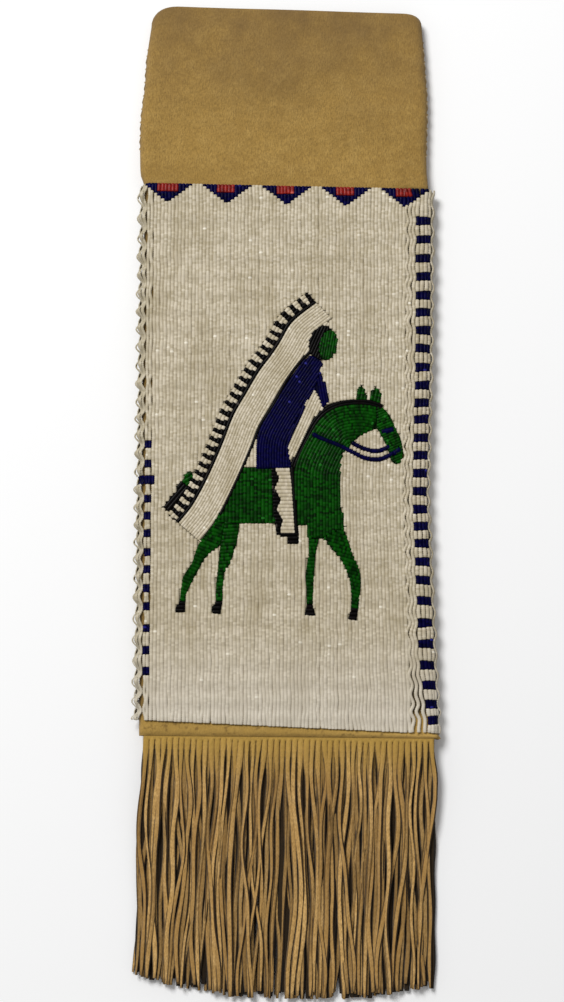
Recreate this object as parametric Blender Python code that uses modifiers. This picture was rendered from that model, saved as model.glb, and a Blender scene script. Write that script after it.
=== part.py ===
"""Beaded hide pipe bag, lying flat on its back with its beaded front up.

X runs across the bag, Y along it toward the mouth, and Z up from the floor. Each bead
field is first drawn flat: its x and y are its place on the hide and its z is its height
over the hide. Bending it round the bag's long edges then puts it on the bag.
"""

import math
import random

import bmesh
import bpy

MM = 0.001
COLLECTION = "pipe_bag"

# Lengths along the bag, on its middle line
TOP_LENGTH = 107.0 * MM
PANEL_LENGTH = 307.3 * MM
HEADER_LENGTH = 5.2 * MM
FRINGE_LENGTH = 140.5 * MM

# The hand-cut edges slope: how far each falls for each unit across
MOUTH_SLOPE = 0.042
BORDER_SLOPE = 0.0226
PANEL_FOOT_SLOPE = 0.0466
HEADER_FOOT_SLOPE = 0.0098

# Widths and thicknesses of the hide bag
BAG_WIDTH = 163.2 * MM
MOUTH_WIDTH = 154.8 * MM
MOUTH_SHIFT = -1.2 * MM
LEFT_BULGE = 2.0 * MM
LEFT_BULGE_START = 32.0 * MM
LEFT_BULGE_LENGTH = 75.0 * MM
RIGHT_BULGE = 3.2 * MM
RIGHT_DRAW = 1.1 * MM
RIGHT_BULGE_LENGTH = 50.0 * MM
LEFT_CORNER_RADIUS = 11.0 * MM
RIGHT_CORNER_RADIUS = 5.0 * MM
HIDE = 1.4 * MM
POCKET_DEPTH = 5.8 * MM
LIP_DROP = 0.6 * MM
SETTLE_LENGTH = 20.0 * MM
RIPPLE = 0.5 * MM
RIPPLE_LENGTHS = (26.0 * MM, 17.0 * MM)
EDGE_UPRIGHT = 0.12
EDGE_FACETS = 3

# The right edge is drawn in along the panel: shares of the panel's length and of the waist
WAIST = 4.4 * MM
WAIST_START = 20.0 * MM
WAIST_KNOTS = ((0.0, 0.0), (0.32, 0.36), (0.58, 1.0), (0.84, 0.4), (1.0, 0.0))

# Beadwork
GAP = 0.3 * MM
STRING_PITCH = 2.0 * MM
STRING_HEIGHT = 1.9 * MM
VALLEY_SHARE = 0.55
GROOVE_DEPTH = 0.9 * MM
SMALLEST_EDGE = 0.02 * MM
FIGURE_PROUD = 0.2 * MM
EDGE_STRIP_WIDTH = 18.0 * MM

# Stepped triangles along the top of the panel
TRIANGLE_COUNT = 5
TRIANGLE_PITCH = 33.0 * MM
TRIANGLE_WIDTH = 26.0 * MM
TRIANGLE_DEPTH = 10.4 * MM
BLOCK_WIDTH = 10.0 * MM
BLOCK_DEPTH = 5.3 * MM

# Blocks along each edge strip
EDGE_BLOCK_COUNT = 28
EDGE_BLOCK_WIDTH = 9.0 * MM
EDGE_BLOCK_LENGTH = 4.7 * MM
EDGE_BLOCK_INSET = 5.6 * MM
EDGE_BLOCK_END = 22.0 * MM
EDGE_SPINE = 0.6 * MM

# The figure is fitted between two margins. These sizes and the outlines are in its own
# drawing units, from the panel's middle.
MUZZLE_MARGIN = 3.2 * MM
TAIL_MARGIN = 8.4 * MM
DRAWN_LEFT = -69.0
DRAWN_WIDTH = 133.5
FEATHER_COUNT = 28
BAND_STRINGS = 4
DRAWN_STRING = 2.0
FEATHER_SPINE = 1.2
REIN_WIDTH = 1.7
BRIDLE_WIDTH = 2.0
TRAIL_EDGE_WIDTH = 1.4

# Fringe
STRAND_PITCH = 4.3 * MM
STRAND_WIDTH = 3.0 * MM
STRAND_THICKNESS = 1.5 * MM
STRAND_STEPS = 4
STRAND_SWAY = 1.7 * MM
STRAND_SWAY_LENGTH = 9.5 * MM
STRAND_LEANS = (1.5 * MM, -1.0 * MM)
STRAND_RIPPLE = 0.35 * MM
STRAND_UNEVENNESS = 5.0 * MM
LEFT_STRANDS_SHORTER = 9.0 * MM
RIGHT_STRANDS_SHORTER = 3.0 * MM
FRINGE_TUCK = 8.0 * MM
FRINGE_BAND = 3.0 * MM
FRINGE_SPREAD = 0.055

# Seam thread
THREAD_DIAMETER = 0.7 * MM
STITCH_PITCH = 8.0 * MM

# Heights from the floor
BACK_HIDE_FOOT = STRING_HEIGHT + GAP
FRONT_HIDE_TOP = BACK_HIDE_FOOT + 2 * HIDE + POCKET_DEPTH
MIDDLE = (BACK_HIDE_FOOT + FRONT_HIDE_TOP) / 2
EDGE_CENTRE = MIDDLE + GAP / 2
EDGE_RADIUS = FRONT_HIDE_TOP - EDGE_CENTRE

# Places along the bag
HALF_LENGTH = (TOP_LENGTH + PANEL_LENGTH + HEADER_LENGTH + FRINGE_LENGTH) / 2
BORDER_Y = HALF_LENGTH - TOP_LENGTH
PANEL_FOOT_Y = BORDER_Y - PANEL_LENGTH
HEADER_FOOT_Y = PANEL_FOOT_Y - HEADER_LENGTH
PANEL_MIDDLE_Y = (BORDER_Y + PANEL_FOOT_Y) / 2
HIDE_LENGTH = HALF_LENGTH - HEADER_FOOT_Y

# Places across the bag, measured on the surface
FLAT = BAG_WIDTH / 2 - EDGE_RADIUS
STRING_RADIUS = EDGE_RADIUS + GAP + STRING_HEIGHT / 2
SURFACE_EDGE = FLAT + STRING_RADIUS * math.pi / 2
PANEL_EDGE = SURFACE_EDGE - EDGE_STRIP_WIDTH - GAP
BEAD_TOP = GAP + STRING_HEIGHT

FIGURE_LEFT = -FLAT + TAIL_MARGIN
DRAWN_UNIT = (PANEL_EDGE - MUZZLE_MARGIN - FIGURE_LEFT) / DRAWN_WIDTH

COLOURS = {
    "hide": (172, 136, 76),
    "fringe_hide": (160, 128, 80),
    "sinew": (186, 164, 120),
    "white_beads": (212, 202, 176),
    "navy_beads": (22, 14, 92),
    "red_beads": (140, 28, 24),
    "green_beads": (12, 84, 24),
    "black_beads": (16, 13, 14),
}


def clear_scene():
    for thing in list(bpy.data.objects):
        bpy.data.objects.remove(thing)


def collection(name):
    made = bpy.data.collections.new(name)
    bpy.context.scene.collection.children.link(made)
    return made


def material(kind, name):
    """A material of its own for each sub-part, in the colour of its kind."""
    made = bpy.data.materials.new(name)
    made.use_nodes = True
    shader = made.node_tree.nodes["Principled BSDF"]
    linear = [((c / 255 + 0.055) / 1.055) ** 2.4 for c in COLOURS[kind]]
    shader.inputs["Base Color"].default_value = (*linear, 1.0)
    shader.inputs["Roughness"].default_value = 0.3 if kind.endswith("beads") else 0.9
    shader.inputs["Metallic"].default_value = 0.0
    return made


def new_object(name, mesh, kind, home):
    made = bpy.data.objects.new(name, mesh)
    mesh.materials.clear()
    mesh.materials.append(material(kind, name))
    home.objects.link(made)
    return made


def mesh_from(bm, name):
    bmesh.ops.recalc_face_normals(bm, faces=bm.faces)
    mesh = bpy.data.meshes.new(name)
    bm.to_mesh(mesh)
    bm.free()
    return mesh


def evaluated_mesh(thing):
    """The mesh of an object with its modifiers applied."""
    bpy.context.view_layer.update()
    graph = bpy.context.evaluated_depsgraph_get()
    return bpy.data.meshes.new_from_object(thing.evaluated_get(graph), depsgraph=graph)


def apply_modifiers(thing):
    mesh = evaluated_mesh(thing)
    thing.modifiers.clear()
    thing.data = mesh


def border_y(x):
    return BORDER_Y - BORDER_SLOPE * x


def panel_foot_y(x):
    return PANEL_FOOT_Y - PANEL_FOOT_SLOPE * x


def header_foot_y(x):
    return HEADER_FOOT_Y - HEADER_FOOT_SLOPE * x


def smooth_step(t):
    t = min(max(t, 0.0), 1.0)
    return t * t * (3 - 2 * t)


def waist_pull(y):
    """How much narrower each unit of width is, to the right of where the waist starts."""
    down = (BORDER_Y - y) / PANEL_LENGTH
    share = 0.0
    for (start, low), (end, high) in zip(WAIST_KNOTS, WAIST_KNOTS[1:]):
        if start < down < end:
            share = low + (high - low) * (down - start) / (end - start)
        elif down == end:
            share = high
    return share * WAIST / (BAG_WIDTH / 2 - WAIST_START)


def waisted(x, y):
    """Across, with the right side drawn in."""
    return x - waist_pull(y) * max(x - WAIST_START, 0.0)


def unwaisted(x, y):
    """Where a place across would be if the right side weren't drawn in."""
    if x <= WAIST_START:
        return x
    pull = waist_pull(y)
    return (x - pull * WAIST_START) / (1 - pull)


# Bending flat beadwork round the bag


def bent(x, height):
    """Across and up for a place on the surface, with its height over the hide."""
    past = abs(x) - FLAT
    if past <= 0:
        return x, FRONT_HIDE_TOP + height
    turn = past / STRING_RADIUS
    reach = EDGE_RADIUS + height
    across = FLAT + reach * math.sin(turn)
    return math.copysign(across, x), EDGE_CENTRE + reach * math.cos(turn)


def bend(thing, turned=False):
    """Puts flat beadwork on the front, or turned half round the bag's length on its back."""
    bm = bmesh.new()
    bm.from_mesh(thing.data)
    reach = max(abs(v.co.x) for v in bm.verts)
    for side in (-1, 1):
        for step in range(EDGE_FACETS):
            place = FLAT + step * (SURFACE_EDGE - FLAT) / EDGE_FACETS
            if place < reach:
                split(bm, (side * place, 0, 0), (1, 0, 0), bm.faces[:])
    right = -1 if turned else 1
    for down, _ in WAIST_KNOTS[1:-1]:
        drawn_in = [f for f in bm.faces if max(right * v.co.x for v in f.verts) > WAIST_START]
        split(bm, (0, BORDER_Y - down * PANEL_LENGTH, 0), (0, 1, 0), drawn_in)
    for vert in bm.verts:
        across, up = bent(vert.co.x, vert.co.z)
        if turned:
            across, up = -across, 2 * MIDDLE - up
        vert.co.x, vert.co.z = waisted(across, vert.co.y), up
    bmesh.ops.remove_doubles(bm, verts=bm.verts, dist=SMALLEST_EDGE)
    bm.to_mesh(thing.data)
    bm.free()


def split(bm, place, normal, faces):
    """Adds edges where a plane crosses some faces."""
    edges = {edge for face in faces for edge in face.edges}
    verts = {vert for face in faces for vert in face.verts}
    geometry = [*verts, *edges, *faces]
    bmesh.ops.bisect_plane(bm, geom=geometry, plane_co=place, plane_no=normal)


# Flat outlines


def smoothed(points, steps=2):
    """A smooth line through points. A point with a third value is a sharp corner."""
    line = []
    count = len(points)
    for i in range(count - 1):
        here, there = points[i], points[i + 1]
        before = points[i - 1] if i and len(here) == 2 else here
        after = points[i + 2] if i + 2 < count and len(there) == 2 else there
        straight = len(here) == 3 and len(there) == 3
        for step in range(1 if straight else steps):
            t = step / steps
            line.append(tuple(spline(before[k], here[k], there[k], after[k], t) for k in (0, 1)))
    line.append(points[-1][:2])
    return line


def spline(a, b, c, d, t):
    return b + 0.5 * t * (c - a + t * (2 * a - 5 * b + 4 * c - d + t * (3 * (b - c) + d - a)))


def closed(points, steps=2):
    """A smooth closed outline, which starts and ends at its first point, a corner."""
    first = (*points[0][:2], 1)
    return smoothed([first, *points[1:], first], steps)[:-1]


def area(outline):
    total = 0.0
    for (x0, y0), (x1, y1) in zip(outline, outline[1:] + outline[:1]):
        total += x0 * y1 - x1 * y0
    return total / 2


def grown(outline, distance):
    """The outline with each side moved out by a distance."""
    if area(outline) < 0:
        outline = outline[::-1]
    moved = []
    count = len(outline)
    for i, (x, y) in enumerate(outline):
        ax, ay = outline[i - 1]
        bx, by = outline[(i + 1) % count]
        first = side_normal(ax, ay, x, y)
        second = side_normal(x, y, bx, by)
        dot = first[0] * second[0] + first[1] * second[1]
        reach = distance / max(1 + dot, 0.35)
        moved.append((x + reach * (first[0] + second[0]), y + reach * (first[1] + second[1])))
    return moved


def side_normal(x0, y0, x1, y1):
    length = math.hypot(x1 - x0, y1 - y0)
    return (y1 - y0) / length, -(x1 - x0) / length


def along(line, distance):
    """The point at a distance along a line, and the unit vector to its left."""
    for (x0, y0), (x1, y1) in zip(line, line[1:]):
        length = math.hypot(x1 - x0, y1 - y0)
        if distance <= length or (x1, y1) == line[-1]:
            t = distance / length
            return x0 + t * (x1 - x0), y0 + t * (y1 - y0), (y0 - y1) / length, (x1 - x0) / length
        distance -= length
    return None


def length_of(line):
    return sum(math.hypot(x1 - x0, y1 - y0) for (x0, y0), (x1, y1) in zip(line, line[1:]))


def beside(line, distance, offset):
    """A point beside a line, to its right for a negative offset."""
    x, y, left_x, left_y = along(line, distance)
    return x + offset * left_x, y + offset * left_y


def ribbon(points, width, steps=2):
    """The outline of a ribbon of one width along a smooth line."""
    line = smoothed(points, steps)
    total = length_of(line)
    stops = [total * i / (len(line) - 1) for i in range(len(line))]
    left = [beside(line, stop, width / 2) for stop in stops]
    right = [beside(line, stop, -width / 2) for stop in stops]
    return left + right[::-1]


def oval(middle_x, middle_y, across, up, tilt_degrees, count=20):
    """An ellipse with two half axes, turned by a tilt."""
    tilt = math.radians(tilt_degrees)
    points = []
    for i in range(count):
        angle = 2 * math.pi * i / count
        x, y = across * math.cos(angle), up * math.sin(angle)
        turned_x = x * math.cos(tilt) - y * math.sin(tilt)
        turned_y = x * math.sin(tilt) + y * math.cos(tilt)
        points.append((middle_x + turned_x, middle_y + turned_y))
    return points


def drawn(points):
    """Points of the figure's drawing at their place on the flat beadwork."""
    placed = []
    for x, y, *corner in points:
        along_y = PANEL_MIDDLE_Y + y * DRAWN_UNIT
        across = unwaisted(FIGURE_LEFT + (x - DRAWN_LEFT) * DRAWN_UNIT, along_y)
        placed.append((across, along_y, *corner))
    return placed


def plate(outline, foot, top):
    """A mesh with a flat outline between two heights, from a filled 2D curve."""
    curve = bpy.data.curves.new("outline", "CURVE")
    curve.dimensions = "2D"
    curve.fill_mode = "BOTH"
    curve.extrude = (top - foot) / 2
    curve.render_resolution_u = 0
    line = curve.splines.new("POLY")
    line.points.add(len(outline) - 1)
    for point, (x, y) in zip(line.points, outline):
        point.co = (x, y, 0, 1)
    line.use_cyclic_u = True
    holder = bpy.data.objects.new("outline", curve)
    bpy.context.scene.collection.objects.link(holder)
    mesh = evaluated_mesh(holder)
    bpy.data.objects.remove(holder)
    bpy.data.curves.remove(curve)
    bm = bmesh.new()
    bm.from_mesh(mesh)
    bmesh.ops.remove_doubles(bm, verts=bm.verts, dist=0.00001)
    bmesh.ops.translate(bm, verts=bm.verts, vec=(0, 0, (foot + top) / 2))
    return mesh_from(bm, "plate")


class Field:
    """One field of beads, flat, with the cutter that makes room for it in others."""

    def __init__(self, name, kind, outline, foot=GAP, top=BEAD_TOP + FIGURE_PROUD):
        self.thing = new_object(name, plate(outline, foot, top), kind, PARTS)
        room = grown(outline, GAP)
        deep = foot - GAP if foot > GAP else foot - STRING_HEIGHT
        cutter = bpy.data.objects.new(f"{name}_cutter", plate(room, deep, top + STRING_HEIGHT))
        cutter.hide_render = True
        cutter.display_type = "WIRE"
        CUTTERS.objects.link(cutter)
        self.cutter = cutter
        xs = [x for x, _ in room]
        ys = [y for _, y in room]
        self.box = min(xs), max(xs), min(ys), max(ys)

    def meets(self, other):
        a, b = self.box, other.box
        return a[0] < b[1] and b[0] < a[1] and a[2] < b[3] and b[2] < a[3]


def cut(thing, cutters):
    for cutter in cutters:
        modifier = thing.modifiers.new(cutter.name, "BOOLEAN")
        modifier.operation = "DIFFERENCE"
        modifier.solver = "EXACT"
        modifier.object = cutter
    apply_modifiers(thing)
    bm = bmesh.new()
    bm.from_mesh(thing.data)
    bmesh.ops.remove_doubles(bm, verts=bm.verts, dist=SMALLEST_EDGE)
    bm.to_mesh(thing.data)
    bm.free()


# Hides


def half_width(y):
    """Half the hide's width, which tapers from the beadwork to the mouth."""
    t = (y - BORDER_Y) / TOP_LENGTH
    return (BAG_WIDTH + (MOUTH_WIDTH - BAG_WIDTH) * min(max(t, 0.0), 1.0)) / 2


def corner_inset(distance, radius):
    if distance >= radius:
        return 0.0
    return radius - math.sqrt(radius**2 - (radius - distance) ** 2)


def hide_heights(y):
    """The hide's lowest and highest surface: the plain top settles on the floor."""
    settled = smooth_step((y - border_y(-BAG_WIDTH / 2) - GAP) / SETTLE_LENGTH)
    foot = BACK_HIDE_FOOT * (1 - settled)
    top = FRONT_HIDE_TOP - LIP_DROP * settled
    return foot, top


def edge_shift(y):
    """How far the bag's middle line has moved to the side."""
    return MOUTH_SHIFT * smooth_step((y - BORDER_Y) / TOP_LENGTH)


def edge_bulge(y, share):
    """How far the plain top's edges lie to the side of straight lines, from edge to edge."""
    up = y - border_y(-BAG_WIDTH / 2) - GAP
    left = smooth_step(up / (12 * MM)) - smooth_step((up - LEFT_BULGE_START) / LEFT_BULGE_LENGTH)
    right = RIGHT_BULGE * smooth_step((up - 15 * MM) / RIGHT_BULGE_LENGTH)
    right -= RIGHT_DRAW * smooth_step(up / (8 * MM))
    return right * max(share, 0.0) - LEFT_BULGE * left * max(-share, 0.0)


def mouth_y(x):
    peak = MOUTH_SHIFT - MOUTH_WIDTH / 2 + LEFT_CORNER_RADIUS
    return HALF_LENGTH - MOUTH_SLOPE * (x - peak)


def unsloped_y(x, y):
    """Where a place of the hide would be along the bag if its mouth and foot were level."""
    mouth = mouth_y(x)
    down = (mouth - y) / (mouth - header_foot_y(x)) * HIDE_LENGTH
    return HALF_LENGTH - down


def hide_rows():
    """How far down the hide each row of its surface lies, from the mouth to its foot."""
    corner = [0.0, 0.7 * MM, 2.5 * MM, 6.0 * MM, 12.0 * MM]
    plain = [TOP_LENGTH * share for share in (0.22, 0.36, 0.5, 0.6, 0.7)]
    settling = [TOP_LENGTH - SETTLE_LENGTH * share for share in (1.1, 0.75, 0.45, 0.2)]
    panel = [TOP_LENGTH + PANEL_LENGTH * down for down, _ in WAIST_KNOTS]
    return corner + plain + settling + panel + [HIDE_LENGTH]


def hide_columns():
    """Each column's share of the flat part, and how far out and up it is on the edge's arc."""
    turns = [math.pi / 2 * i / EDGE_FACETS for i in range(EDGE_FACETS)]
    arc = [(math.sin(turn), math.cos(turn)) for turn in turns]
    edge = [(1.0, out, up) for out, up in arc + [(1.0, EDGE_UPRIGHT), (1.0, 0.0)]]
    flat = [(share, 0.0, 1.0) for share in (-0.66, -0.33, 0.0, 0.33, 0.66)]
    return [(-share, -out, up) for share, out, up in edge[::-1]] + flat + edge


def hide_place(column, down, front):
    """A point on the outer surface of one hide."""
    share, out, up = column
    rough_y = HALF_LENGTH - down
    foot, top = hide_heights(rough_y)
    middle = (foot + top) / 2
    radius = top - middle - GAP / 2
    corner = LEFT_CORNER_RADIUS if share < 0 else RIGHT_CORNER_RADIUS
    flat = half_width(rough_y) - corner_inset(down, corner) - radius
    x = share * flat + out * radius + edge_shift(rough_y) + edge_bulge(rough_y, share)
    rest = HIDE_LENGTH - down
    y = (rest * (mouth_y(x) - down) + down * (header_foot_y(x) + rest)) / HIDE_LENGTH
    wave = RIPPLE * math.sin(x / RIPPLE_LENGTHS[0] + 0.9) * math.sin(down / RIPPLE_LENGTHS[1])
    plain = front and down < TOP_LENGTH - SETTLE_LENGTH
    rise = GAP / 2 + radius * up + (wave * (1 - share**2) if plain else 0.0)
    return waisted(x, rough_y), y, middle + rise if front else middle - rise


def hide_surface(front):
    """The outer surface of one hide, with its two long edges turned to the seam."""
    rows, columns = hide_rows(), hide_columns()
    bm = bmesh.new()
    across, down = len(columns) - 1, len(rows) - 1
    bmesh.ops.create_grid(bm, x_segments=across, y_segments=down, size=0.5)
    for vert in bm.verts:
        column = columns[round((vert.co.x + 0.5) * across)]
        row = rows[round((0.5 - vert.co.y) * down)]
        vert.co = hide_place(column, row, front)
    if not front:
        bmesh.ops.reverse_faces(bm, faces=bm.faces)
    mesh = bpy.data.meshes.new("hide")
    bm.to_mesh(mesh)
    bm.free()
    return mesh


def make_hide(name, front):
    hide = new_object(name, hide_surface(front), "hide", PARTS)
    solid = hide.modifiers.new("thickness", "SOLIDIFY")
    solid.thickness = HIDE
    solid.offset = -1.0
    solid.use_even_offset = True
    for face in hide.data.polygons:
        face.use_smooth = True


def make_seam_thread(name, side):
    """Whip stitches over the seam, along one long edge of the plain top."""
    curve = bpy.data.curves.new(name, "CURVE")
    curve.dimensions = "3D"
    curve.bevel_depth = THREAD_DIAMETER / 2
    curve.bevel_resolution = 0
    curve.use_fill_caps = True
    curve.render_resolution_u = 0
    corner = LEFT_CORNER_RADIUS if side < 0 else RIGHT_CORNER_RADIUS
    start = border_y(side * BAG_WIDTH / 2) + SETTLE_LENGTH
    end = mouth_y(side * MOUTH_WIDTH / 2) - corner - STITCH_PITCH / 2
    stitches = int((end - start) / STITCH_PITCH)
    turns = (60, 90, 120, 90)
    line = curve.splines.new("POLY")
    line.points.add(4 * stitches - 1)
    for i, point in enumerate(line.points):
        y = start + STITCH_PITCH * i / 4
        rough_y = unsloped_y(side * BAG_WIDTH / 2, y)
        foot, top = hide_heights(rough_y)
        radius = (top - foot) / 2
        turn = math.radians(turns[i % 4])
        reach = radius + GAP + THREAD_DIAMETER / 2
        x = side * (half_width(rough_y) - radius + reach * math.sin(turn))
        x += edge_shift(rough_y) + edge_bulge(rough_y, side)
        point.co = (x, y, (foot + top) / 2 + reach * math.cos(turn), 1)
    thread = bpy.data.objects.new(name, curve)
    PARTS.objects.link(thread)
    curve.materials.append(material("sinew", name))


# Fringe


def strand_path(x, t, layer, end_y, start_y):
    """The middle of a strand, t of the way down it."""
    sway = STRAND_SWAY * math.sin(x / STRAND_SWAY_LENGTH + 2.0 * layer + 1.2 * t)
    across = x * (1 + FRINGE_SPREAD * smooth_step(t))
    across += (sway + STRAND_LEANS[layer]) * smooth_step(1.4 * t)
    start_up, end_up = strand_heights(layer)
    up = start_up + (end_up - start_up) * smooth_step(2.2 * t)
    if layer == 0:
        up += STRAND_RIPPLE * math.sin(9.0 * t + 200 * x) * smooth_step(2 * t)
    return across, start_y + (end_y - start_y) * t, up


def strand_heights(layer):
    """A strand's middle height where it leaves the seam and where it lies."""
    rest = STRAND_THICKNESS / 2
    low, high = fringe_band_heights(layer)
    if layer == 0:
        rest += STRAND_THICKNESS + 2 * GAP + STRAND_RIPPLE
    return (low + high) / 2, rest


def fringe_band_heights(layer):
    """The two fringe hides lie on each other between the bag's hides."""
    low = BACK_HIDE_FOOT + HIDE + GAP
    high = FRONT_HIDE_TOP - HIDE - GAP
    middle = (low + high) / 2
    return (middle + GAP / 2, high) if layer == 0 else (low, middle - GAP / 2)


def strand_end_y(x, number):
    """Strands are cut unevenly, shorter toward the left edge."""
    share = x / (BAG_WIDTH / 2)
    shorter = LEFT_STRANDS_SHORTER if x < 0 else RIGHT_STRANDS_SHORTER
    return -HALF_LENGTH + shorter * share**2 + STRAND_UNEVENNESS * number


def strand_middles(layer):
    """Where the strands of one layer leave their band, those of the other half a step off."""
    half = FLAT - GAP
    count = int((2 * half - STRAND_WIDTH) / STRAND_PITCH) + 1
    offset = (0.5 - layer) * (STRAND_PITCH - STRAND_WIDTH) / 2
    return [STRAND_PITCH * (i - (count - 1) / 2) + offset for i in range(count)]


def strand_ends(middles, layer):
    """Where each strand ends. The longest one ends where the bag does."""
    dice = random.Random(7 + layer)
    ends = [strand_end_y(middle, dice.random()) for middle in middles]
    ends[ends.index(min(ends))] = -HALF_LENGTH
    return ends


def make_fringe(name, layer):
    """A doubled hide between the bag's hides, cut into strands below them."""
    low, high = fringe_band_heights(layer)
    half = FLAT - GAP
    middles = strand_middles(layer)
    ends = strand_ends(middles, layer)
    top_y = HEADER_FOOT_Y + FRINGE_TUCK
    foot_y = header_foot_y(half) - FRINGE_BAND
    bm = bmesh.new()
    bmesh.ops.create_cube(bm, size=1.0)
    bmesh.ops.scale(bm, verts=bm.verts, vec=(2 * half, top_y - foot_y, high - low))
    bmesh.ops.translate(bm, verts=bm.verts, vec=(0, (top_y + foot_y) / 2, (low + high) / 2))
    for middle in middles:
        for edge in (middle - STRAND_WIDTH / 2, middle + STRAND_WIDTH / 2):
            split(bm, (edge, 0, 0), (1, 0, 0), bm.faces[:])
    foot_faces = [face for face in bm.faces if face.normal.y < -0.9]
    for middle, end in zip(middles, ends):
        face = min(foot_faces, key=lambda each: abs(each.calc_center_median().x - middle))
        draw_strand(bm, face, middle, layer, end, foot_y)
        foot_faces.remove(face)
    new_object(name, mesh_from(bm, name), "fringe_hide", PARTS)


def draw_strand(bm, face, x, layer, end_y, start_y):
    """Draws one strand out of a face on the foot of its band."""
    for step in range(1, STRAND_STEPS + 1):
        t = step / STRAND_STEPS
        face = bmesh.ops.extrude_discrete_faces(bm, faces=[face])["faces"][0]
        across, y, up = strand_path(x, t, layer, end_y, start_y)
        middle = face.calc_center_median()
        for vert in face.verts:
            side = math.copysign(STRAND_WIDTH / 2, vert.co.x - middle.x)
            level = math.copysign(STRAND_THICKNESS / 2, vert.co.z - middle.z)
            vert.co = (across + side, y, up + level)


# Beadwork grounds


def ridge_section(start, end):
    """The upper line of a field of strings, valley and crown by turns."""
    count = max(round((end - start) / STRING_PITCH), 1)
    pitch = (end - start) / count
    valley = GAP + STRING_HEIGHT * VALLEY_SHARE
    line = [(start, valley)]
    for i in range(count):
        line.append((start + (i + 0.5) * pitch, BEAD_TOP))
        line.append((start + (i + 1) * pitch, valley))
    return line


def prism(section, head_y, foot_y):
    """A mesh with a section across the bag, between two edges that follow x."""
    bm = bmesh.new()
    verts = [bm.verts.new((x, 0, z)) for x, z in section]
    face = bm.faces.new(verts)
    drawn_out = bmesh.ops.extrude_face_region(bm, geom=[face])["geom"]
    far = {v for v in drawn_out if isinstance(v, bmesh.types.BMVert)}
    for vert in bm.verts:
        vert.co.y = head_y(vert.co.x) if vert in far else foot_y(vert.co.x)
    return mesh_from(bm, "prism")


def make_ground(name, cutters, turned):
    left, right = -SURFACE_EDGE, PANEL_EDGE
    section = ridge_section(left, right) + [(right, GAP), (left, GAP)]
    side = -1 if turned else 1
    flat = prism(section, lambda x: border_y(side * x), lambda x: panel_foot_y(side * x))
    ground = new_object(name, flat, "white_beads", PARTS)
    if cutters:
        cut(ground, cutters)
    bend(ground, turned)


def edge_block_ys():
    first = BORDER_Y - EDGE_BLOCK_END
    last = PANEL_FOOT_Y + EDGE_BLOCK_LENGTH
    pitch = (first - last) / (EDGE_BLOCK_COUNT - 1)
    return [first - pitch * i for i in range(EDGE_BLOCK_COUNT)]


def strip_section(lane_left, lane_right):
    """A strip's section: ridges on both sides of a thin lane, with room for the spine."""
    left, right = PANEL_EDGE + GAP, SURFACE_EDGE
    upper = ridge_section(left, lane_left) + ridge_section(lane_right, right)
    lane_foot = GAP + EDGE_SPINE + GAP
    under = [(right, GAP), (lane_right + GAP, GAP), (lane_right + GAP, lane_foot)]
    under += [(lane_left - GAP, lane_foot), (lane_left - GAP, GAP), (left, GAP)]
    return upper, under


def box_prism(left, right, low, high, head, foot):
    section = [(left, low), (right, low), (right, high), (left, high)]
    return prism(section, lambda x: head, lambda x: foot)


def joined(meshes):
    """One mesh of several that stay apart."""
    bm = bmesh.new()
    for mesh in meshes:
        bm.from_mesh(mesh)
    return mesh_from(bm, "joined")


def make_edge_strip(side, cutters, turned):
    """A white strip with windows, and the navy blocks that stand in them on one spine."""
    lane_left = PANEL_EDGE + GAP + EDGE_BLOCK_INSET
    lane_right = lane_left + EDGE_BLOCK_WIDTH
    upper, under = strip_section(lane_left, lane_right)
    lane = [(lane_left, BEAD_TOP), (lane_right, BEAD_TOP)]
    inner = [point for point in upper if point[0] <= lane_left]
    section = inner + lane + upper[len(inner):] + under
    strip_mesh = prism(section, border_y, lambda x: PANEL_FOOT_Y)
    strip = new_object(f"{side}_edge_strip", strip_mesh, "white_beads", PARTS)
    half_block = EDGE_BLOCK_LENGTH / 2
    windows = [
        box_prism(lane_left, lane_right, 0, 2 * BEAD_TOP, y + half_block + GAP, y - half_block - GAP)
        for y in edge_block_ys()
    ]
    window = bpy.data.objects.new(f"{side}_window_cutter", joined(windows))
    window.hide_render = True
    window.display_type = "WIRE"
    CUTTERS.objects.link(window)
    cut(strip, [window, *cutters])
    bend(strip, turned)
    spine_top = GAP + EDGE_SPINE
    head, foot = edge_block_ys()[0] + half_block, edge_block_ys()[-1] - half_block
    spine = box_prism(lane_left, lane_right, GAP, spine_top, head, foot)
    blocks = new_object(f"{side}_edge_blocks", spine, "navy_beads", PARTS)
    tall = [
        box_prism(
            lane_left + GAP,
            lane_right - GAP,
            spine_top / 2 + GAP / 2,
            BEAD_TOP,
            y + half_block,
            y - half_block,
        )
        for y in edge_block_ys()
    ]
    risers = bpy.data.objects.new(f"{side}_riser_tool", joined(tall))
    risers.hide_render = True
    risers.display_type = "WIRE"
    CUTTERS.objects.link(risers)
    union = blocks.modifiers.new("risers", "BOOLEAN")
    union.operation = "UNION"
    union.solver = "EXACT"
    union.object = risers
    apply_modifiers(blocks)
    bend(blocks, turned)


# Border


def stepped_triangle(middle):
    """A triangle that points to the foot, stepped one string at a time."""
    steps = max(round(TRIANGLE_WIDTH / 2 / STRING_PITCH), 1)
    run = TRIANGLE_WIDTH / 2 / steps
    fall = TRIANGLE_DEPTH / steps
    left = []
    for i in range(steps):
        x = middle - TRIANGLE_WIDTH / 2 + run * i
        left.append((x, border_y(x) - fall * i))
        left.append((x, border_y(x) - fall * (i + 1)))
    right = [(2 * middle - x, border_y(2 * middle - x) - (border_y(x) - y)) for x, y in left]
    return left + right[::-1]


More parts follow.
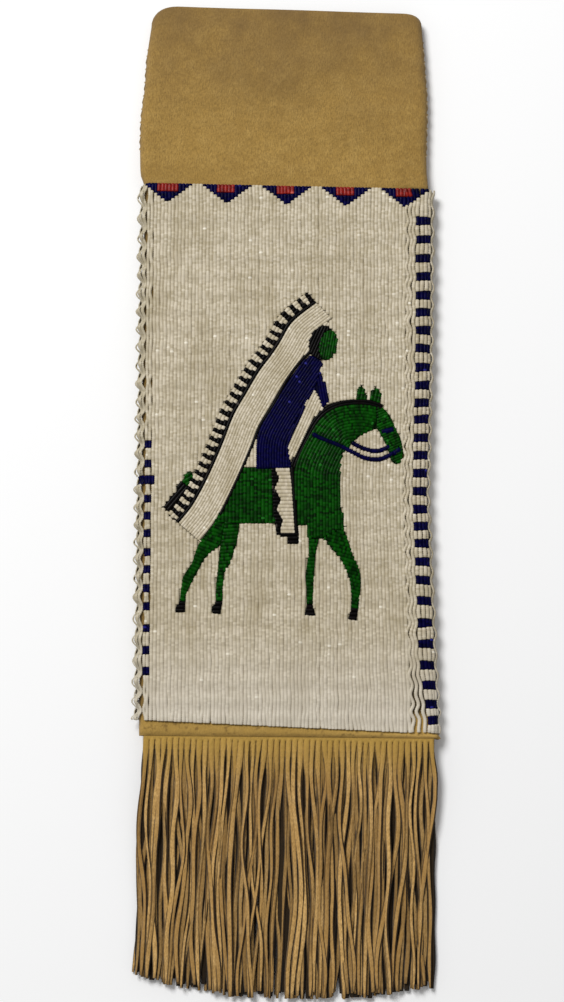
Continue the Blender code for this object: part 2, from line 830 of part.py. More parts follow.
def make_border():
    fields = []
    for i in range(TRIANGLE_COUNT):
        middle = TRIANGLE_PITCH * (i - (TRIANGLE_COUNT - 1) / 2)
        level = border_y(middle)
        half = BLOCK_WIDTH / 2
        corners = [
            (middle - half, level - BLOCK_DEPTH),
            (middle + half, level - BLOCK_DEPTH),
            (middle + half, border_y(middle + half)),
            (middle - half, border_y(middle - half)),
        ]
        fields.append(Field(f"border_block_{i + 1}", "red_beads", corners))
        fields.append(Field(f"border_triangle_{i + 1}", "navy_beads", stepped_triangle(middle)))
    return fields


# Figure


BAND_LINE = [(16.5, 84.5), (8.5, 78.5), (1.5, 72.0), (-3.0, 63.5), (-9.0, 54.0), (-15.5, 45.5)]
BAND_LINE += [(-23.5, 31.5), (-30.0, 20.0), (-35.0, 6.5), (-40.5, -7.0), (-46.5, -20.0)]
BAND_LINE += [(-53.5, -32.5), (-60.5, -41.0)]
TRAIL_EDGE = [(5.5, 50.0), (-0.5, 40.0), (-8.0, 26.0), (-15.5, 14.0), (-19.5, 3.5)]
TRAIL_EDGE += [(-25.0, -9.5), (-32.0, -25.0), (-37.5, -36.5)]


def band_fields():
    """The dark edge of the trailing bonnet: one solid string with teeth between feathers."""
    line = smoothed(drawn(BAND_LINE), 2)
    total = length_of(line)
    period = total / FEATHER_COUNT
    base = DRAWN_STRING * DRAWN_UNIT
    tip = base * BAND_STRINGS
    inner = [beside(line, stop * total / 16, 0.0) for stop in range(17)]
    outer = []
    for i in range(FEATHER_COUNT):
        for share, offset in ((0.125, tip), (0.375, base), (0.625, base), (0.875, tip)):
            outer.append(beside(line, (i + share) * period, -offset))
    start, end = beside(line, 0.0, -tip), beside(line, total, -tip)
    comb = inner + [end] + outer[::-1] + [start]
    far = tip + FEATHER_SPINE * DRAWN_UNIT
    outside = [beside(line, stop * total / 16, -far) for stop in range(17)]
    inside = [beside(line, stop * total / 16, -base) for stop in range(17)]
    return [
        Field("bonnet_band", "black_beads", comb),
        Field("bonnet_feathers", "white_beads", inside + outside[::-1]),
    ]


def line_field(name, points, width):
    """A thin dark line of beads that lies in a groove of the fields it crosses."""
    outline = ribbon(drawn(points), width * DRAWN_UNIT)
    return Field(name, "navy_beads", outline, foot=BEAD_TOP - GROOVE_DEPTH)


def field(name, kind, points, steps=2):
    return Field(name, kind, closed(drawn(points), steps))


def tack_fields():
    """Reins and bridle."""
    rein_upper = [(36, 4.5), (40.5, 2), (46, 0), (50.5, -0.5), (54, 0.5)]
    rein_lower = [(14, 9.5), (18.5, 7), (28.5, 3), (37.5, -1.5), (42.5, -4), (47.5, -5)]
    rein_lower += [(52, -5), (56, -3.5)]
    return [
        line_field("rein_upper", rein_upper, REIN_WIDTH),
        line_field("rein_lower", rein_lower, REIN_WIDTH),
        line_field("bridle_upper", [(52.5, 10.5), (59.5, 12)], BRIDLE_WIDTH),
        line_field("bridle_lower", [(58, -2.5), (63, 1)], BRIDLE_WIDTH),
    ]


def rider_fields():
    stripe = [(-9.5, -10, 1), (-7, -10, 1), (-4.5, -16, 1), (-7, -21.5, 1), (-3.5, -28, 1)]
    stripe += [(-6, -33, 1), (-2.5, -39.5, 1), (-4, -44.5, 1), (-3.5, -47, 1), (-6, -47.5, 1)]
    stripe += [(-7.5, -39.5), (-8.5, -25)]
    edge = [(1, -9, 1), (2.5, -9, 1), (4, -18), (5, -29.5), (6.5, -46.5, 1), (4, -46.5, 1)]
    edge += [(3, -29.5), (2.2, -18)]
    legging = [(-7.5, -10, 1), (2, -10, 1), (3, -18), (4.5, -46, 1), (-5, -47, 1), (-8, -28)]
    foot = [(-4, -46.4, 1), (6.5, -46, 1), (6.5, -52.5, 1), (0, -52.5, 1), (0, -48.5, 1)]
    foot += [(-4, -48.5, 1)]
    shirt = [(10, 52.0), (13.5, 54), (17.5, 52), (20, 49.5), (18.2, 46.5), (20, 41.5)]
    shirt += [(23.5, 28.5, 1), (20, 24, 1), (17.5, 30), (15.5, 34.5, 1), (11, 28), (7.5, 18.5)]
    shirt += [(3, 9.5), (0.5, 1.5), (1.3, -4.5), (1.9, -7.5, 1), (0.6, -12, 1), (-9, -12, 1)]
    shirt += [(-9.5, -10.5, 1), (-17.5, -10.5, 1), (-17.8, 1.5, 1), (-17.5, 6), (-15.5, 12)]
    shirt += [(-13, 17.5), (-6.5, 28), (-0.5, 39), (5.5, 46.5)]
    trail_edge = ribbon(drawn(TRAIL_EDGE), TRAIL_EDGE_WIDTH * DRAWN_UNIT)
    return [
        Field("trail_edge", "black_beads", trail_edge),
        field("legging_stripe", "black_beads", stripe, 1),
        field("legging_edge", "black_beads", edge, 1),
        field("foot", "black_beads", foot, 1),
        field("legging", "white_beads", legging, 1),
        field("mane", "black_beads", mane_outline()),
        field("shirt", "navy_beads", shirt),
        Field("face", "green_beads", drawn(oval(23.2, 61.5, 4.9, 7.6, -10))),
        Field("hair", "black_beads", drawn(oval(19.5, 63.0, 7.0, 9.4, -14))),
    ]


def mane_outline():
    mane = [(1.2, -7.8, 1), (5, -1), (8, 6), (11, 11.5), (14, 17.5), (18, 22), (22.5, 26)]
    mane += [(29.5, 28), (37.5, 28.8), (47.5, 28.5), (53.5, 25.5, 1), (52.5, 23.5, 1)]
    mane += [(46.5, 26), (37.5, 26.2), (30, 25.3), (23.5, 23), (20, 19.5), (16.5, 15)]
    return mane + [(13, 9.6), (10.5, 4), (7.5, -2.5), (4, -10, 1), (2.8, -10, 1)]


def horse_fields():
    neck = [(3, -9.5, 1), (6, -2.5), (9, 6), (13, 14), (18, 21), (24.5, 25), (32, 26.5)]
    neck += [(40.5, 27.5), (48, 27.5), (52.5, 25), (57.5, 19.5), (60.5, 12.5), (63.5, 6)]
    neck += [(64.5, -0.5), (63.5, -5.5), (61, -7.5), (58, -6), (57, -2), (53.5, 6.5)]
    neck += [(50, 12.5, 1), (45.5, 11), (40, 8), (35.5, 4), (30.5, -2), (29.5, -11)]
    neck += [(29.5, -26.5), (30.5, -36.5), (32, -43, 1), (19, -49.5, 1), (11.5, -49, 1)]
    neck += [(11.5, -42, 1), (5.4, -42, 1), (4, -23.5)]
    body = [(-25, -9.5, 1), (-8.5, -9.5, 1), (-7.5, -25), (-6.5, -41, 1), (-26.5, -41, 1)]
    body += [(-41, -40.5, 1), (-33, -25)]
    hind_left = [(-38, -37.5, 1), (-46.5, -48.5), (-50, -54), (-53, -63.5), (-58, -71.5)]
    hind_left += [(-59.5, -86, 1), (-56.5, -86, 1), (-55.5, -79.5), (-50.5, -69.5), (-46.5, -62)]
    hind_left += [(-42.5, -57), (-37.5, -53.5), (-34.5, -47, 1), (-33, -38, 1)]
    hind_right = [(-34.5, -38, 1), (-26.5, -38, 1), (-27.5, -49.5), (-29.5, -56), (-32, -64)]
    hind_right += [(-35, -68.5), (-36, -86, 1), (-39.5, -86, 1), (-39.5, -75), (-38, -60)]
    hind_right += [(-37.2, -53.5, 1)]
    fore_left = [(11.5, -46, 1), (11.5, -58), (10, -69.5), (10.5, -78.5), (10.5, -88, 1)]
    fore_left += [(14, -88, 1), (14.5, -75), (15.5, -59), (18.5, -46, 1)]
    fore_right = [(17.5, -46, 1), (23.5, -54), (29.5, -61), (33, -68.5), (35, -77), (35, -90, 1)]
    fore_right += [(39, -89.5, 1), (40.5, -75), (39.5, -66.5), (36, -58.5), (33, -49), (30, -41, 1)]
    ear_left = [(38.5, 27, 1), (39, 32.5), (41.5, 37.5, 1), (44, 32.5), (44, 27, 1)]
    ear_right = [(46, 27, 1), (46.5, 31.5), (49.5, 36.5, 1), (52, 33), (51.5, 26, 1)]
    hooves = [
        [(-59.5, -84.5, 1), (-56.5, -84.5, 1), (-56.5, -90.5, 1), (-61.5, -90.5, 1), (-62, -88.5, 1)],
        [(-39.5, -84.5, 1), (-36, -84.5, 1), (-37, -91.5, 1), (-41.5, -91, 1), (-42, -88.5, 1)],
        [(10.5, -86.5, 1), (14, -86.5, 1), (15.5, -92.5, 1), (9.5, -91.5, 1)],
        [(35, -88.5, 1), (39, -88, 1), (38, -95, 1), (33.5, -94, 1)],
    ]
    fields = [
        field("ear_left", "green_beads", ear_left),
        field("ear_right", "green_beads", ear_right),
    ]
    for i, hoof in enumerate(hooves):
        fields.append(field(f"hoof_{i + 1}", "black_beads", hoof, 1))
    return fields + [
        field("horse_neck", "green_beads", neck),
        field("horse_body", "green_beads", body, 1),
        field("hind_leg_right", "green_beads", hind_right),
        field("hind_leg_left", "green_beads", hind_left),
        field("fore_leg_right", "green_beads", fore_right),
        field("fore_leg_left", "green_beads", fore_left),
    ]


def trail_fields():
    """The white trail of the bonnet, its dark edges, and the tail that shows behind it."""
    trail = [(*BAND_LINE[0], 1), *BAND_LINE[1:-1], (*BAND_LINE[-1], 1)]
    trail += [(-48.5, -51.5, 1), (-38, -37.5), *TRAIL_EDGE[-2::-1]]
    trail += [(13, 58, 1), (15, 66), (25, 75.5, 1)]
    tail_root = [(-57.5, -14.5, 1), (-55.5, -12.5), (-53.5, -11.5, 1), (-51.5, -17.5, 1)]
    tail_root += [(-56.5, -19.5, 1), (-58.5, -18, 1)]
    tail = [(-58, -17, 1), (-61, -19.5), (-62, -23.5), (-65.5, -26.5), (-67.5, -30.5)]
    tail += [(-69, -32, 1), (-64, -36.5, 1), (-58, -30.5), (-53.5, -22.5), (-52.5, -17, 1)]
    under_arm = [(15, 34.5), (16.8, 33), (20.8, 25.5), (19, 22.5), (15.5, 16.5), (12, 10)]
    under_arm += [(8, 2.5), (4, -5), (2, -8.5), (-0.5, 0), (2, 9), (6, 18), (10, 27.5)]
    behind_seat = [(-18, 7), (-16.8, 3.5), (-16.8, -10.2), (-24.8, -10.2), (-20, 2), (-18.7, 5)]
    return [
        *band_fields(),
        field("bonnet_trail", "white_beads", trail, 1),
        field("tail_root", "green_beads", tail_root, 1),
        field("tail", "black_beads", tail, 1),
        Field("ground_under_arm", "white_beads", drawn(under_arm)),
        Field("ground_behind_seat", "white_beads", drawn(behind_seat)),
    ]


def cut_in_turn(fields):
    """Each field makes room for itself in those after it."""
    for i, lower in enumerate(fields):
        above = [upper.cutter for upper in fields[:i] if upper.meets(lower)]
        if above:
            cut(lower.thing, above)


def main():
    make_hide("front_hide", front=True)
    make_hide("back_hide", front=False)
    make_seam_thread("left_seam_thread", -1)
    make_seam_thread("right_seam_thread", 1)
    make_fringe("fringe_front", 0)
    make_fringe("fringe_back", 1)
    border = make_border()
    figure = tack_fields() + rider_fields() + horse_fields() + trail_fields()
    cut_in_turn(border)
    cut_in_turn(figure)
    for each in border + figure:
        bend(each.thing)
    make_ground("front_ground", [each.cutter for each in border + figure], turned=False)
    make_ground("back_ground", [], turned=True)
    corner = [each.cutter for each in border if each.box[1] > PANEL_EDGE]
    make_edge_strip("right", corner, turned=False)
    make_edge_strip("left", [], turned=True)


clear_scene()
PARTS = collection(COLLECTION)
CUTTERS = collection(f"{COLLECTION}_cutters")
main()
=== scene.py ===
"""Looks of the beaded hide pipe bag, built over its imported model.

Every bead is real geometry. A string of beads is first laid out flat on the hide, as a line
with a height over it, and is then bent round the bag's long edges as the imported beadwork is.
Lengths are in metres unless a name or a comment says otherwise. Colours with values up to 255
are plain sRGB.
"""

import math
import random

import bmesh
import bpy
import numpy as np
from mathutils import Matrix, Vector


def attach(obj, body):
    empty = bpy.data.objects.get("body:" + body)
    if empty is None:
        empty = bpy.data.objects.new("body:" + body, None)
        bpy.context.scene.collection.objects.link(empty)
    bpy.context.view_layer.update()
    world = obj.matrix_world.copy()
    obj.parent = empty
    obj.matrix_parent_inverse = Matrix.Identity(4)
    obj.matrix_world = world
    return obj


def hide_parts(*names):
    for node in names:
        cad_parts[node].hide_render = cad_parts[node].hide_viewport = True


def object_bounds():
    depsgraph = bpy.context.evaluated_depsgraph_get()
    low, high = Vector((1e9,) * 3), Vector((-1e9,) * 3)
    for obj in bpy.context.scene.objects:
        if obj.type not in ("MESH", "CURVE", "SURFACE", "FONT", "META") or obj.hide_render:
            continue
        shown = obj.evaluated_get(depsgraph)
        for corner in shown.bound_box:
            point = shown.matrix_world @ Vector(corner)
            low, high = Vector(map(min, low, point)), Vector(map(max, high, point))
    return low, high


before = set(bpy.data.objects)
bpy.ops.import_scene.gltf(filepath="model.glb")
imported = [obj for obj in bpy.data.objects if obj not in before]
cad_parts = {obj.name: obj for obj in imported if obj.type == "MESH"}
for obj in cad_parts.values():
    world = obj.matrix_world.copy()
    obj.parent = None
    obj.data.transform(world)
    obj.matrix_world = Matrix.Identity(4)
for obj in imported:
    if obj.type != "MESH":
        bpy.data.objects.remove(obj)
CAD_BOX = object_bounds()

MM = 0.001
SEED = 11

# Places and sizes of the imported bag, from the floor up and from the middle out
HALF_LENGTH = 280.0 * MM
TOP_LENGTH = 107.0 * MM
PANEL_LENGTH = 307.3 * MM
HEADER_LENGTH = 5.2 * MM
BORDER_Y = HALF_LENGTH - TOP_LENGTH
PANEL_FOOT_Y = BORDER_Y - PANEL_LENGTH
HEADER_FOOT_Y = PANEL_FOOT_Y - HEADER_LENGTH
PANEL_MIDDLE_Y = (BORDER_Y + PANEL_FOOT_Y) / 2
HIDE_LENGTH = HALF_LENGTH - HEADER_FOOT_Y
MOUTH_SLOPE = 0.042
BORDER_SLOPE = 0.0226
PANEL_FOOT_SLOPE = 0.0466
HEADER_FOOT_SLOPE = 0.0098
BAG_WIDTH = 163.2 * MM
MOUTH_WIDTH = 154.8 * MM
MOUTH_SHIFT = -1.2 * MM
LEFT_CORNER_RADIUS = 11.0 * MM
RIGHT_CORNER_RADIUS = 5.0 * MM
HIDE = 1.4 * MM
LIP_DROP = 0.6 * MM
SETTLE_LENGTH = 20.0 * MM
GAP = 0.3 * MM
BACK_HIDE_FOOT = 2.2 * MM
FRONT_HIDE_TOP = 10.8 * MM
MIDDLE = (BACK_HIDE_FOOT + FRONT_HIDE_TOP) / 2
EDGE_CENTRE = MIDDLE + GAP / 2
EDGE_RADIUS = FRONT_HIDE_TOP - EDGE_CENTRE
STRING_PITCH = 2.0 * MM
STRING_HEIGHT = 1.9 * MM
FLAT = BAG_WIDTH / 2 - EDGE_RADIUS
STRING_RADIUS = EDGE_RADIUS + GAP + STRING_HEIGHT / 2
SURFACE_EDGE = FLAT + STRING_RADIUS * math.pi / 2
STRIP_WIDTH = 18.0 * MM
PANEL_EDGE = SURFACE_EDGE - STRIP_WIDTH - GAP

# The right edge is drawn in along the panel
WAIST = 4.4 * MM
WAIST_START = 20.0 * MM
WAIST_KNOTS = ((0.0, 0.0), (0.32, 0.36), (0.58, 1.0), (0.84, 0.4), (1.0, 0.0))

# Beads, and how fields of them lie: how far they stand up and how far apart they keep
BEAD_LENGTH = 1.15 * MM
BACK_BEAD_LENGTH = 1.3 * MM
FINE = 0.25 * MM
SHORTEST_RUN = 0.6 * MM
FINE_PITCH = 1.5 * MM
FIGURE_PROUD = 0.2 * MM
LINE_PROUD = 0.45 * MM
FIELD_GAP = -0.12 * MM
GROUND_GAP = 0.12 * MM

# A bead's section in degrees round its string, and its sizes as shares of the string's width
FRONT_TURNS = (-104.0, -52.0, 0.0, 52.0, 104.0)
BACK_TURNS = (-95.0, -35.0, 35.0, 95.0)
NECK = 0.76
END = 0.62
CLOSE = 1.36
FLATTENED = 0.62
BEAD_JITTER = 0.05

# Between the threads that hold them down, the strings arch up, bow and lie unevenly
LANE_ARCH = 0.42 * MM
LANE_UNEVENNESS = 0.14 * MM
PULL = 0.1
SWAY = 0.22 * MM
OWN_SWAY = 0.1 * MM
SUNK = 0.3 * MM
SUNK_SHARE = 0.12
RISE = 0.08 * MM
SWAY_WAVES = (14 * MM, 40 * MM)
RISE_WAVES = (9 * MM, 24 * MM)

# The strings near the left edge buckle between the lanes
BUCKLED_WIDTH = 14.0 * MM
BUCKLE = 2.3 * MM
LOOP_WIDTH = 7.0 * MM
LOOP_DROP = 0.55 * MM
LOOP_LIFT = 2.4 * MM

# Edge strips, and the rows of the photograph where the right strip's blocks lie
BLOCK_WIDTH = 9.0 * MM
BLOCK_LENGTH = 4.7 * MM
BLOCK_INSET = 5.6 * MM
INNER_STRINGS = 3
BLOCK_STRINGS = 4
OUTER_STRINGS = 2
BLOCK_ROWS_PX = (
    220.5, 239, 258, 276, 295, 312, 330, 348, 367, 385, 402.5, 419, 437.5, 455,
    473, 491, 509, 526, 543, 561.5, 580, 600.6, 622.7, 643.6, 665, 685, 704, 720,
)

# How the photograph shows the bag: from this far off, leaned back a little
PHOTO_MIDDLE_PX = 504.0
PHOTO_MIDDLE_Y = -10.95 * MM
PHOTO_PX = 0.5555 * MM
VIEW_LEAN = math.radians(9.0)
VIEW_DISTANCE = 1.15

# Border
TRIANGLE_COUNT = 5
TRIANGLE_PITCH = 33.8 * MM
TRIANGLE_MIDDLE = -0.5 * MM
TRIANGLE_WIDTH = 28.5 * MM
TRIANGLE_DEPTH = 11.0 * MM
RED_WIDTH = 10.4 * MM
RED_DEPTH = 5.3 * MM

# The figure is fitted between two margins and drawn in units of its own
MUZZLE_MARGIN = 3.2 * MM
TAIL_MARGIN = 8.4 * MM
DRAWN_LEFT = -69.0
DRAWN_WIDTH = 133.5
FIGURE_LEFT = -FLAT + TAIL_MARGIN
DRAWN_UNIT = (PANEL_EDGE - MUZZLE_MARGIN - FIGURE_LEFT) / DRAWN_WIDTH
FEATHER_COUNT = 28
BAND_STRINGS = 4
BAND_BEADS = 5
REIN_WIDTH = 2.0
BRIDLE_WIDTH = 2.6
TRAIL_EDGE_WIDTH = 1.4

# Plates under the beads, which keep the hide from showing between them
PLATE = 0.2 * MM
PLATE_TOP = 1.27 * MM
PLATE_STEP = 0.013 * MM
GROUND_PLATE = 0.8 * MM
PLATE_FOOT = 1.2 * MM
PLATE_LEFT = -62 * MM
PLATE_RIGHT = PANEL_EDGE - 1 * MM

# Places on the bag


def border_y(x):
    return BORDER_Y - BORDER_SLOPE * x


def panel_foot_y(x):
    return PANEL_FOOT_Y - PANEL_FOOT_SLOPE * x


def header_foot_y(x):
    return HEADER_FOOT_Y - HEADER_FOOT_SLOPE * x


def mouth_y(x):
    peak = MOUTH_SHIFT - MOUTH_WIDTH / 2 + LEFT_CORNER_RADIUS
    return HALF_LENGTH - MOUTH_SLOPE * (x - peak)


def smooth_step(t):
    t = np.clip(t, 0.0, 1.0)
    return t * t * (3 - 2 * t)


def waist_pull(y):
    """How much narrower each unit of width is, to the right of where the waist starts."""
    downs, shares = zip(*WAIST_KNOTS)
    share = np.interp((BORDER_Y - y) / PANEL_LENGTH, downs, shares)
    return share * WAIST / (BAG_WIDTH / 2 - WAIST_START)


def waisted(x, y):
    return x - waist_pull(y) * np.maximum(x - WAIST_START, 0.0)


def unwaisted(x, y):
    """Where a place across would be if the right side weren't drawn in."""
    if x <= WAIST_START:
        return x
    pull = waist_pull(y)
    return (x - pull * WAIST_START) / (1 - pull)


def on_bag(points, turned=False):
    """Bends points round the bag: each is a place on its surface and a height over its hide."""
    x, y, height = points.T
    past = np.maximum(np.abs(x) - FLAT, 0.0)
    turn = past / STRING_RADIUS
    reach = EDGE_RADIUS + height
    across = np.sign(x) * np.where(past > 0, FLAT + reach * np.sin(turn), np.abs(x))
    up = np.where(past > 0, EDGE_CENTRE + reach * np.cos(turn), FRONT_HIDE_TOP + height)
    if turned:
        across, up = -across, 2 * MIDDLE - up
    return np.column_stack([waisted(across, y), y, up])


class Waves:
    """A smooth uneven value over the flat bag, from -1 to 1, as a sum of slanted waves."""

    def __init__(self, dice, shortest, longest, count=7):
        self.parts = []
        for _ in range(count):
            length = dice.uniform(shortest, longest)
            angle = dice.uniform(0.9, 2.25)
            turn = 2 * math.pi / length
            phase = dice.uniform(0, 2 * math.pi)
            self.parts.append((turn * math.cos(angle), turn * math.sin(angle), phase))

    def __call__(self, x, y):
        total = sum(np.sin(across * x + along * y + phase) for across, along, phase in self.parts)
        return total / math.sqrt(2 * len(self.parts))


# Flat lines and outlines


def spline(a, b, c, d, t):
    return b + 0.5 * t * (c - a + t * (2 * a - 5 * b + 4 * c - d + t * (3 * (b - c) + d - a)))


def smoothed(points, steps=2):
    """A smooth line through points. A point with a third value is a sharp corner."""
    line = []
    count = len(points)
    for i in range(count - 1):
        here, there = points[i], points[i + 1]
        before = points[i - 1] if i and len(here) == 2 else here
        after = points[i + 2] if i + 2 < count and len(there) == 2 else there
        for step in range(steps):
            t = step / steps
            line.append(tuple(spline(before[k], here[k], there[k], after[k], t) for k in (0, 1)))
    line.append(points[-1][:2])
    return line


def closed(points, steps=2):
    """A smooth closed outline, which starts and ends at its first point, a corner."""
    first = (*points[0][:2], 1)
    return smoothed([first, *points[1:], first], steps)[:-1]


def oval(middle_x, middle_y, across, up, tilt_degrees, count=24):
    tilt = math.radians(tilt_degrees)
    points = []
    for i in range(count):
        angle = 2 * math.pi * i / count
        x, y = across * math.cos(angle), up * math.sin(angle)
        turned_x = x * math.cos(tilt) - y * math.sin(tilt)
        turned_y = x * math.sin(tilt) + y * math.cos(tilt)
        points.append((middle_x + turned_x, middle_y + turned_y))
    return points


def drawn(points):
    """Points of the figure's drawing at their place on the flat beadwork."""
    placed = []
    for x, y, *corner in points:
        along_y = PANEL_MIDDLE_Y + y * DRAWN_UNIT
        across = unwaisted(FIGURE_LEFT + (x - DRAWN_LEFT) * DRAWN_UNIT, along_y)
        placed.append((float(across), along_y, *corner))
    return placed


def travel(line):
    """How far along a line each of its points lies."""
    return np.concatenate([[0.0], np.cumsum(np.hypot(*np.diff(line, axis=0).T))])


def places_at(stops, travelled, line):
    """The places at some distances along a line."""
    return np.column_stack([np.interp(stops, travelled, line[:, k]) for k in (0, 1)])


def spaced(line, step=FINE):
    """Points at one small distance along a line."""
    line = np.asarray([point[:2] for point in line], float)
    travelled = travel(line)
    stops = np.linspace(0.0, travelled[-1], max(int(travelled[-1] / step), 1) + 1)
    return places_at(stops, travelled, line)


def unit(vectors):
    return vectors / np.maximum(np.hypot(*vectors.T), 1e-12)[:, None]


def left_of(line):
    """The unit vector to the left of a line at each of its points."""
    ahead = unit(np.gradient(line, axis=0))
    return np.column_stack([-ahead[:, 1], ahead[:, 0]])


def beside(line, offset):
    """The line moved to its left, without the folds of tight inner bends."""
    moved = line + offset * left_of(line)
    forward = np.einsum("ij,ij->i", np.gradient(moved, axis=0), np.gradient(line, axis=0))
    return moved[forward > 0]


def ribbon(points, width):
    """The outline of a ribbon of one width along a smooth line."""
    line = spaced(smoothed(points, 4), 4 * FINE)
    side = left_of(line) * width / 2
    return [*map(tuple, line + side), *map(tuple, (line - side)[::-1])]


def inside(outline, places):
    """Which of many places lie inside a closed outline."""
    x, y = places.T
    found = np.zeros(len(places), bool)
    corners = [point[:2] for point in outline]
    for (ax, ay), (bx, by) in zip(corners, corners[1:] + corners[:1]):
        if ay != by:
            crosses = (ay > y) != (by > y)
            found ^= crosses & (x < (bx - ax) * (y - ay) / (by - ay) + ax)
    return found


def area(outline):
    x, y = np.array([point[:2] for point in outline]).T
    return float(np.sum(x * np.roll(y, -1) - np.roll(x, -1) * y) / 2)


def grown(outline, distance):
    """The outline with each side moved out by a distance."""
    points = [point[:2] for point in outline]
    if area(points) < 0:
        points = points[::-1]
    corners = np.array(points)
    ahead = unit(np.roll(corners, -1, axis=0) - corners)
    second = np.column_stack([ahead[:, 1], -ahead[:, 0]])
    first = np.roll(second, 1, axis=0)
    dot = np.einsum("ij,ij->i", first, second)
    reach = distance / np.maximum(1 + dot, 0.35)
    return [*map(tuple, corners + reach[:, None] * (first + second))]


def runs(kept):
    """The first and last place of each unbroken run."""
    edges = np.flatnonzero(np.diff(np.concatenate([[0], kept.astype(int), [0]])))
    return [(first, last - 1) for first, last in zip(edges[::2], edges[1::2])]


# Beads


class Beads:
    """Strings of beads of one colour, which become one piece."""

    def __init__(self, name, kind, nodes, turned=False):
        self.name, self.kind, self.nodes, self.turned = name, kind, nodes, turned
        self.dice = np.random.default_rng(SEED + sum(name.encode()))
        self.turns = np.radians(BACK_TURNS if turned else FRONT_TURNS)
        self.length = BACK_BEAD_LENGTH if turned else BEAD_LENGTH
        self.points, self.tones, self.sizes, self.plates = [], [], [], []

    def string(self, line, lift, width):
        """Threads beads along a flat line, with a lift for each of its points."""
        travelled = travel(line)
        count = max(int(round(travelled[-1] / self.length)), 1)
        stops = np.linspace(0.0, travelled[-1], 2 * count + 1)
        middle = places_at(stops, travelled, line)
        raised = np.interp(stops, travelled, lift)
        width = CLOSE * width
        raised = raised + STRING_HEIGHT / 2 - width / 2 * FLATTENED
        belly = width / 2 * (1 + BEAD_JITTER * self.dice.uniform(-1, 1, count))
        radius = np.full(2 * count + 1, width / 2 * NECK)
        radius[1::2] = belly
        radius[[0, -1]] = width / 2 * END
        side = left_of(middle)
        across = radius[:, None] * np.sin(self.turns)
        rounded = FLATTENED * radius[:, None] * np.cos(self.turns)
        height = GAP + STRING_HEIGHT / 2 + raised[:, None] + rounded
        place = middle[:, None, :] + across[:, :, None] * side[:, None, :]
        self.points.append(np.dstack([place, height]).reshape(-1, 3))
        self.tones.append(self.dice.random(count))
        self.sizes.append(2 * count + 1)

    def lay(self, line, kept, lift, width=STRING_PITCH):
        """Threads beads along those stretches of a line that are kept."""
        lift = np.broadcast_to(lift, (len(line),))
        for first, last in runs(kept):
            if (last - first) * FINE >= SHORTEST_RUN:
                self.string(line[first : last + 1], lift[first : last + 1], width)

    def faces(self):
        """Each four-sided face between two rings, ring by ring and string by string."""
        across = len(self.turns)
        corner = np.array([0, 1, across + 1, across])
        faces, start = [], 0
        for rings in self.sizes:
            rows = np.arange(rings - 1)[:, None] * across + np.arange(across - 1)
            faces.append(start + rows.reshape(-1, 1) + corner)
            start += rings * across
        faces = np.concatenate(faces)
        return faces[:, ::-1] if self.turned else faces

    def piece(self):
        points = on_bag(np.concatenate(self.points), self.turned)
        made = piece_from(self.name, points, self.faces(), self.kind, self.nodes)
        paint(made, "tone", np.repeat(np.concatenate(self.tones), 2 * (len(self.turns) - 1)))
        if self.plates:
            add_plates(made.data, self.plates)


def beads_of(node, kind, turned=False):
    """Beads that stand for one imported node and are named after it."""
    return Beads(f"{node}_beads", kind, [node], turned)


def halves_of(node, turned=False):
    """White strings in a left and a right piece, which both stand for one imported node."""
    sides = ("left", "right")
    return [Beads(f"{node}_{side}_beads", "white_beads", [node], turned) for side in sides]


def add_plates(mesh, plates):
    """Thin plates for the lower halves of the beads on the front."""
    bm = bmesh.new()
    bm.from_mesh(mesh)
    for outline, height in plates:
        flat = [point[:2] for point in outline]
        if area(flat) < 0:
            flat = flat[::-1]
        rings = []
        for level in (height, height - PLATE):
            places = np.column_stack([np.array(flat), np.full(len(flat), level)])
            rings.append([bm.verts.new(place) for place in on_bag(places)])
        upper, lower = rings
        bm.faces.new(upper)
        bm.faces.new(lower[::-1])
        for i in range(len(upper)):
            bm.faces.new((lower[i - 1], lower[i], upper[i], upper[i - 1]))
    bm.to_mesh(mesh)
    bm.free()


# Pieces


def thing_from(name, data):
    made = bpy.data.objects.new(name, data)
    bpy.context.scene.collection.objects.link(made)
    return made


def dressed(name, mesh, kind, nodes):
    """A piece of one material on the bag's body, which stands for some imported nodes."""
    mesh.materials.append(MATERIALS[kind])
    made = thing_from(name, mesh)
    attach(made, "root")
    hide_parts(*nodes)
    return made


def piece_from(name, points, faces, kind, nodes):
    """A smooth piece from arrays of points and faces."""
    mesh = bpy.data.meshes.new(name)
    mesh.vertices.add(len(points))
    mesh.vertices.foreach_set("co", points.astype(np.float32).ravel())
    corners = faces.shape[1]
    mesh.loops.add(faces.size)
    mesh.loops.foreach_set("vertex_index", faces.astype(np.int32).ravel())
    mesh.polygons.add(len(faces))
    mesh.polygons.foreach_set("loop_start", np.arange(0, faces.size, corners, dtype=np.int32))
    mesh.polygons.foreach_set("use_smooth", np.ones(len(faces), bool))
    mesh.update(calc_edges=True)
    return dressed(name, mesh, kind, nodes)


def paint(made, name, values):
    """Gives each face a value of its own, which the material reads by this name."""
    layer = made.data.attributes.new(name, "FLOAT", "FACE")
    layer.data.foreach_set("value", values.astype(np.float32))


